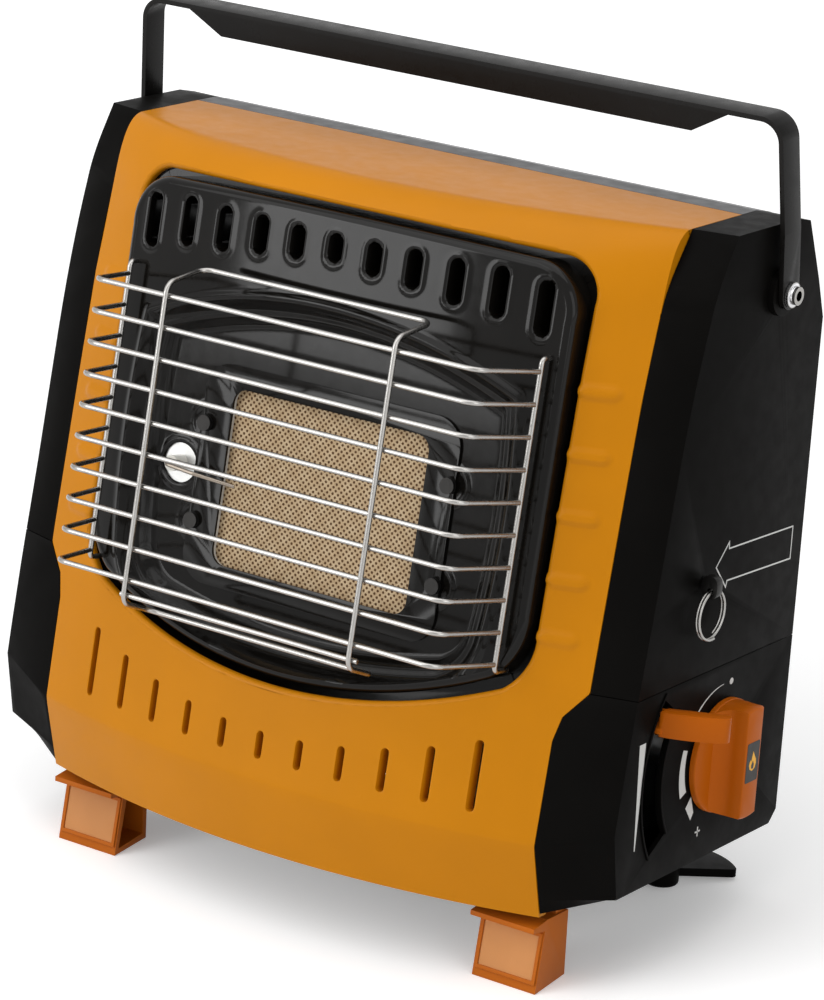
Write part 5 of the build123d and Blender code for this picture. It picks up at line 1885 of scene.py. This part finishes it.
@dataclass
class Controls:
    """Marks, slot rims and lever on the right-hand side."""

    axis: Point = (-50.5, 41.5)
    side: float = 149.0
    ink: float = 0.06
    dot: Point = (-45.8, 70.4)
    dot_radius: float = 1.35
    slot_rims: tuple[tuple[str, float], ...] = (
        ("lever_slot_rim_inner", 42.9), ("lever_slot_rim_outer", 57.0),
    )
    corners: tuple[Point, ...] = (
        (-66.3, 121.1), (-57.2, 130.2), (-56.8, 127.2), (-7.9, 125.8), (-7.8, 111.9),
        (-56.5, 113.6), (-57.2, 110.8),
    )

    def marks(self) -> dict[str, list[Point]]:
        """Draw the plain marks round the dial.

        Returns:
            Outline of each mark by its name.
        """
        return {
            "dial_off_dot": [
                (
                    self.dot[0] + self.dot_radius * cos(radians(turn)),
                    self.dot[1] + self.dot_radius * sin(radians(turn)),
                )
                for turn in range(0, 360, 20)
            ],
            "dial_arc": band(self.axis, 29.0, (0.12, 0.42), (92, 138)),
            "dial_band": band(self.axis, 27.4, (1.6, 2.3), (163, 203)),
            "dial_plus_upright": [(-62.35, 10.2), (-61.65, 10.2), (-61.65, 14.2), (-62.35, 14.2)],
            "dial_plus_level": [(-63.9, 11.85), (-60.1, 11.85), (-60.1, 12.55), (-63.9, 12.55)],
            "dial_diamond": [(-72.9, 24.6), (-69.4, 28.6), (-66.6, 21.4), (-68.4, 18.6)],
            "lever_wedge": [(-111.6, 60.5), (-107.2, 60.5), (-108.9, 17.0), (-109.5, 17.0)],
        }

    def build(self) -> None:
        """Print the marks, soften the lever and rim its slot."""
        for name, outline in self.marks().items():
            print_shape(name, "case", outline, self.side, self.ink, WHITE_PRINT)
        corners = [Vector((self.side, y, z)) for y, z in self.corners]
        arrow = raised_ring(corners, Vector((1, 0, 0)), 0.6, 0.08)
        settle(arrow, Placement("side_arrow", "case", "black_plastic"), WHITE_PRINT, CASE, 30.0)
        softened("lock_lever", "lever", "orange_plastic", ORANGE_PLASTIC, 0.7, angle=40)
        for name, radius in self.slot_rims:
            outline = band(self.axis, radius, (0.55, 0.55), (141.0, 213.0), 40)
            piece = print_shape(name, "case", outline, self.side - 0.1, 0.7, BLACK_PLASTIC)
            round_edges(piece, 0.3, 2)


@dataclass
class PullRing:
    """Split ring: two close turns of wire through the rod's eye."""

    radius: float = 9.7
    wire: float = 0.58
    pitch: float = 1.2
    turns: float = 1.96
    first_turn: float = 205.0
    steps: int = 192

    def build(self) -> None:
        """Build the ring and stand it in for its node."""
        shape = bmesh.new()
        section = bmesh.ops.create_circle(shape, segments=12, radius=self.wire)["verts"]
        bmesh.ops.transform(
            shape, verts=section,
            matrix=Matrix.Translation((0, 0, self.radius)) @ Matrix.Rotation(pi / 2, 4, "X"),
        )
        bmesh.ops.translate(shape, verts=section, vec=(-self.pitch / 2, 0, 0))
        result = bmesh.ops.spin(
            shape, geom=shape.verts[:] + shape.edges[:], cent=(0, 0, 0), axis=(1, 0, 0),
            dvec=(2 * self.pitch / self.steps, 0, 0), angle=2 * pi * self.turns, steps=self.steps,
        )
        last = [item for item in result["geom_last"] if isinstance(item, bmesh.types.BMVert)]
        for end in (section, last):
            bmesh.ops.contextual_create(shape, geom=end)
        bmesh.ops.translate(shape, verts=shape.verts[:], vec=(-self.pitch / 2, 0, 0))
        bmesh.ops.rotate(
            shape, verts=shape.verts[:], cent=(0, 0, 0),
            matrix=Matrix.Rotation(radians(self.first_turn), 3, "X"),
        )
        place = CASE @ Matrix.Translation(RING_CENTRE)
        placement = Placement("pull_ring_split", "pull_ring", "chrome_wire", ("pull_ring",))
        settle(shape, placement, CHROME, place, 50.0)
        softened("pull_rod", "pull_rod", "chrome_wire", BLACK_OXIDE, 0.5, angle=40)


# ---------------------------------------------------------------------------------------
# Handle, feet and case
# ---------------------------------------------------------------------------------------


@dataclass
class Handle:
    """Bail handle and the two flanged screws it turns on."""

    pivot: Point = (-37.0, 225.0)
    head_start: float = 154.6
    head: tuple[Point, ...] = (
        (5.0, 0.0), (5.0, 0.9), (4.7, 1.2), (3.7, 1.3), (3.55, 2.6), (3.1, 3.2), (2.0, 3.4),
    )

    def screw_head(self, side: int) -> bmesh.types.BMesh:
        """Build a flanged screw head that stands out from the origin.

        Args:
            side: 1 for the right-hand screw, -1 for the left-hand one.

        Returns:
            The head's shape.
        """
        shape = bmesh.new()
        add_disc(shape, self.head[0][0], 48)
        shape.faces.ensure_lookup_table()
        face = shape.faces[0]
        for (_, before), (radius, height) in zip(self.head, self.head[1:]):
            fresh = raise_faces(shape, [face], (side * (height - before), 0, 0))
            bmesh.ops.delete(shape, geom=[face], context="FACES_ONLY")
            face = next(f for f in fresh[0].link_faces if all(v in fresh for v in f.verts))
            now = hypot(fresh[0].co.y, fresh[0].co.z)
            bmesh.ops.scale(shape, verts=fresh, vec=(1, radius / now, radius / now))
        return shape

    def build(self) -> None:
        """Soften the bail and build its screws."""
        softened("handle_bail", "handle", "handle_paint", BLACK_PAINT, 0.9, segments=4, angle=40)
        for side, word in SIDES:
            place = CASE @ Matrix.Translation((side * self.head_start, *self.pivot))
            finish = ScrewChrome(f"screw_chrome_{word}", place.translation.copy())
            placement = Placement(f"handle_screw_head_{word}", "case", "chrome_wire")
            settle(self.screw_head(side), placement, finish, place, 40.0)


@dataclass
class Feet:
    """Folding front feet with a framed front, and the swivelling rear feet."""

    inner: float = 89.0
    outer: float = 118.5
    low: tuple[float, float, float] = (0.0, -122.75, -43.4)
    high: tuple[float, float, float] = (0.0, -119.3, -22.6)
    border: float = 2.2
    margin: float = 0.6
    pane_round: float = 1.2
    pane_height: float = 0.15
    frame_height: float = 0.75

    def build(self) -> None:
        """Soften the feet and frame their fronts."""
        for side, word in SIDES:
            front, rear = f"front_foot_{word}", f"rear_foot_{word}"
            softened(front, front, "foot_plastic", FOOT_PLASTIC, 0.7, angle=40)
            softened(rear, rear, "black_plastic", BLACK_PLASTIC, 0.5, angle=40)
            self.front_window(side, word)

    def front_box(self, side: int, border: float, low: Vector, high: Vector) -> list[Vector]:
        """Find the corners of a box on the foot's front.

        Args:
            side: 1 for the right-hand foot, -1 for the left-hand one.
            border: How far inside the foot's edges its sides run.
            low: Place of its bottom edge.
            high: Place of its top edge.

        Returns:
            The four corners.
        """
        left, right = sorted((side * self.inner, side * self.outer))
        return [
            Vector((x, edge.y, edge.z))
            for x, edge in (
                (left + border, low), (right - border, low), (right - border, high),
                (left + border, high),
            )
        ]

    def front_window(self, side: int, word: str) -> None:
        """Build the pale panel in the foot's front, inside a raised frame.

        Args:
            side: 1 for the right-hand foot, -1 for the left-hand one.
            word: Name of the side.
        """
        low, high = Vector(self.low), Vector(self.high)
        up = high - low
        outward = Vector((0, -up.z, up.y)).normalized()
        corners = self.front_box(side, self.border, low + up * 0.06, high - up * 0.02)
        pane = bmesh.new()
        face = pane.faces.new([pane.verts.new(corner) for corner in corners])
        round_corners(pane, face, self.pane_round)
        raise_faces(pane, pane.faces[:], outward * self.pane_height)
        placement = Placement(f"front_foot_window_{word}", f"front_foot_{word}", "foot_plastic")
        settle(pane, placement, PALE_PLASTIC, CASE, 30.0)
        corners = self.front_box(side, self.margin, low, high)
        frame_ring = raised_ring(corners, outward, self.border - self.margin, self.frame_height)
        placement = Placement(f"front_foot_frame_{word}", f"front_foot_{word}", "foot_plastic")
        round_edges(settle(frame_ring, placement, FOOT_PLASTIC, CASE, 30.0), 0.3, 2)


@dataclass
class Case:
    """Side panels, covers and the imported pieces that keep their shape."""

    def build(self) -> None:
        """Soften the case's plastic pieces."""
        for node in ("left_side_panel", "right_side_panel", "left_lower_cover", "control_plate"):
            softened(node, "case", "black_plastic", BLACK_PLASTIC, 1.0, angle=25)

    def dress(self) -> None:
        """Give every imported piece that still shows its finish."""
        groups: dict[Finish, tuple[str, ...]] = {
            BLACK_PLASTIC: ("rod_bush",),
            BLACK_SHEET_WITH_PAINTED_SHEEN: ("back_shell", "base_tray", "cartridge_door"),
            CHROME: ("guard_rows", "guard_uprights", "guard_front_frame", "handle_screws"),
            ZINC: (
                "burner_box", "cartridge_cradle", "cartridge_pusher", "pusher_guides",
                "door_hinge_brackets", "door_hinge_pins", "foot_pins", "heat_shield",
                "electrode_clip", "handle_nuts", "valve_stem", "rod_spring",
            ),
            BLACK_OXIDE: ("burner_screws", "case_screws", "rear_foot_bolts"),
            INSULATOR: ("electrode_insulator",),
            HEATED_STEEL: ("electrode_wire",),
            GASKET: ("plaque_gasket",),
            ALUMINIUM: ("regulator_body", "mixer_tube"),
            BRASS: ("gas_jet", "gas_pipe"),
            RUBBER: ("ignition_lead",),
            IGNITER: ("piezo_igniter", "door_pull", "door_magnet"),
            ORANGE_PAINT: ("front_panel",),
            ENAMEL: ("reflector", "burner_frame"),
            BLACK_PAINT: ("handle_bail",),
            ORANGE_PLASTIC: ("control_knob", "lock_lever"),
            FOOT_PLASTIC: ("front_foot_left", "front_foot_right"),
        }
        for finish, nodes in groups.items():
            for node in nodes:
                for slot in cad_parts[node].material_slots:
                    slot.material = finish.material()
        log.info("dressed %d packed pieces", sum(len(nodes) for nodes in groups.values()))


# ---------------------------------------------------------------------------------------
# Stage
# ---------------------------------------------------------------------------------------


@dataclass(frozen=True)
class Lamp:
    """One soft rectangular lamp."""

    name: str
    place: tuple[float, float, float]
    size: Point
    power: float
    aim: tuple[float, float, float] = (0.0, 0.0, 0.15)

    def hang(self) -> None:
        """Hang the lamp so that it faces its aim."""
        data = bpy.data.lights.new(self.name, "AREA")
        data.shape = "RECTANGLE"
        data.size, data.size_y = self.size
        data.energy = self.power
        lamp = bpy.data.objects.new(self.name, data)
        lamp.location = self.place
        turn = (Vector(self.place) - Vector(self.aim)).to_track_quat("Z", "Y")
        lamp.rotation_euler = turn.to_euler()
        bpy.context.scene.collection.objects.link(lamp)


@dataclass
class Stage:
    """Pale floor, soft lamps and the camera."""

    camera_place: tuple[float, float, float] = (0.9315, -1.30945, 0.81409)
    back: tuple[float, float, float] = (0.532553, -0.757982, 0.376631)
    side: tuple[float, float, float] = (0.818508, 0.574494, -0.001178)
    lens: float = 157.58
    sensor: float = 36.0
    sight: float = 50.0
    lamps: tuple[Lamp, ...] = (
        Lamp("key", (-1.1, -1.7, 1.9), (2.4, 2.0), 25.0),
        Lamp("top", (0.1, -0.1, 2.0), (2.2, 1.8), 19.0),
        Lamp("fill", (1.9, -0.7, 0.9), (1.2, 1.4), 9.0),
        Lamp("front", (-0.86, -1.37, 0.62), (0.72, 0.56), 7.5, (0.0, 0.0, 0.23)),
    )
    room_light: float = 0.38
    floor_glow: float = 0.22
    paling: tuple[float, float] = (0.8, 2.2)
    floor_size: float = 6.0
    floor_shade: Colour = (0.78, 0.78, 0.78)
    floor_white: Colour = (1.0, 1.0, 1.0)

    def floor(self) -> None:
        """Lay a large pale floor that keeps the heater's shadow."""
        shape = bmesh.new()
        bmesh.ops.create_grid(shape, x_segments=8, y_segments=8, size=self.floor_size)
        mesh = bpy.data.meshes.new("floor")
        shape.to_mesh(mesh)
        shape.free()
        floor = bpy.data.objects.new("floor", mesh)
        bpy.context.scene.collection.objects.link(floor)
        wiring = Wiring("floor_pale")
        shader = wiring.shader
        shader.inputs["Roughness"].default_value = 0.9
        shader.inputs["Specular IOR Level"].default_value = 0.0
        seen = self.seen(wiring.tree)
        tone = wiring.blend(seen, self.floor_shade, self.floor_white)
        wiring.link(tone, shader.inputs["Base Color"])
        shader.inputs["Emission Color"].default_value = (1, 1, 1, 1)
        reach = wiring.add("ShaderNodeVectorMath", operation="LENGTH")
        wiring.link(wiring.place, reach.inputs[0])
        paling = wiring.ranged(reach.outputs["Value"], self.floor_glow, 1.0, *self.paling)
        glow = wiring.add("ShaderNodeMath", operation="MULTIPLY")
        wiring.link(seen, glow.inputs[0])
        wiring.link(paling, glow.inputs[1])
        wiring.link(glow.outputs[0], shader.inputs["Emission Strength"])
        mesh.materials.append(wiring.material)

    def sky(self) -> None:
        """Light the room softly and show white behind the heater."""
        world = bpy.data.worlds.new("room")
        bpy.context.scene.world = world
        world.use_nodes = True
        tree = world.node_tree
        ground = tree.nodes["Background"]
        ground.inputs["Color"].default_value = (1, 1, 1, 1)
        level = tree.nodes.new("ShaderNodeMapRange")
        level.inputs["To Min"].default_value = self.room_light
        level.inputs["To Max"].default_value = 1.0
        tree.links.new(self.seen(tree), level.inputs["Value"])
        tree.links.new(level.outputs["Result"], ground.inputs["Strength"])

    def seen(self, tree: bpy.types.NodeTree) -> bpy.types.NodeSocket:
        """Tell the rays that are seen from those that only light the room.

        Args:
            tree: Nodes that it goes into.

        Returns:
            1 for rays of the camera, of gloss and of transmission, and 0 for the others.
        """
        rays = tree.nodes.new("ShaderNodeLightPath")
        value = rays.outputs["Is Camera Ray"]
        for name in ("Is Glossy Ray", "Is Transmission Ray"):
            either = tree.nodes.new("ShaderNodeMath")
            either.operation = "MAXIMUM"
            tree.links.new(value, either.inputs[0])
            tree.links.new(rays.outputs[name], either.inputs[1])
            value = either.outputs[0]
        return value

    def camera(self) -> None:
        """Stand the camera."""
        data = bpy.data.cameras.new("camera")
        data.lens = self.lens
        data.sensor_width = self.sensor
        data.clip_end = self.sight
        camera = bpy.data.objects.new("camera", data)
        back = Vector(self.back).normalized()
        side = Vector(self.side)
        side = (side - back * side.dot(back)).normalized()
        up = back.cross(side)
        turn = Matrix((side, up, back)).transposed().to_4x4()
        camera.matrix_world = Matrix.Translation(self.camera_place) @ turn
        bpy.context.scene.collection.objects.link(camera)
        bpy.context.scene.camera = camera

    def build(self) -> None:
        """Set the whole stage."""
        self.floor()
        self.sky()
        self.camera()
        for lamp in self.lamps:
            lamp.hang()
        bpy.context.scene.view_settings.view_transform = "Standard"


def main() -> None:
    """Build every sub-assembly in order."""
    logging.basicConfig(level=logging.INFO, format="%(message)s")
    Stage().build()
    for assembly in (
        FrontPanel(), Reflector(), Burner(), Guard(), Knob(), Controls(), PullRing(), Handle(),
        Feet(), Case(),
    ):
        log.info("building %s", type(assembly).__name__)
        assembly.build()
    Case().dress()


if __name__ == "__main__":
    main()
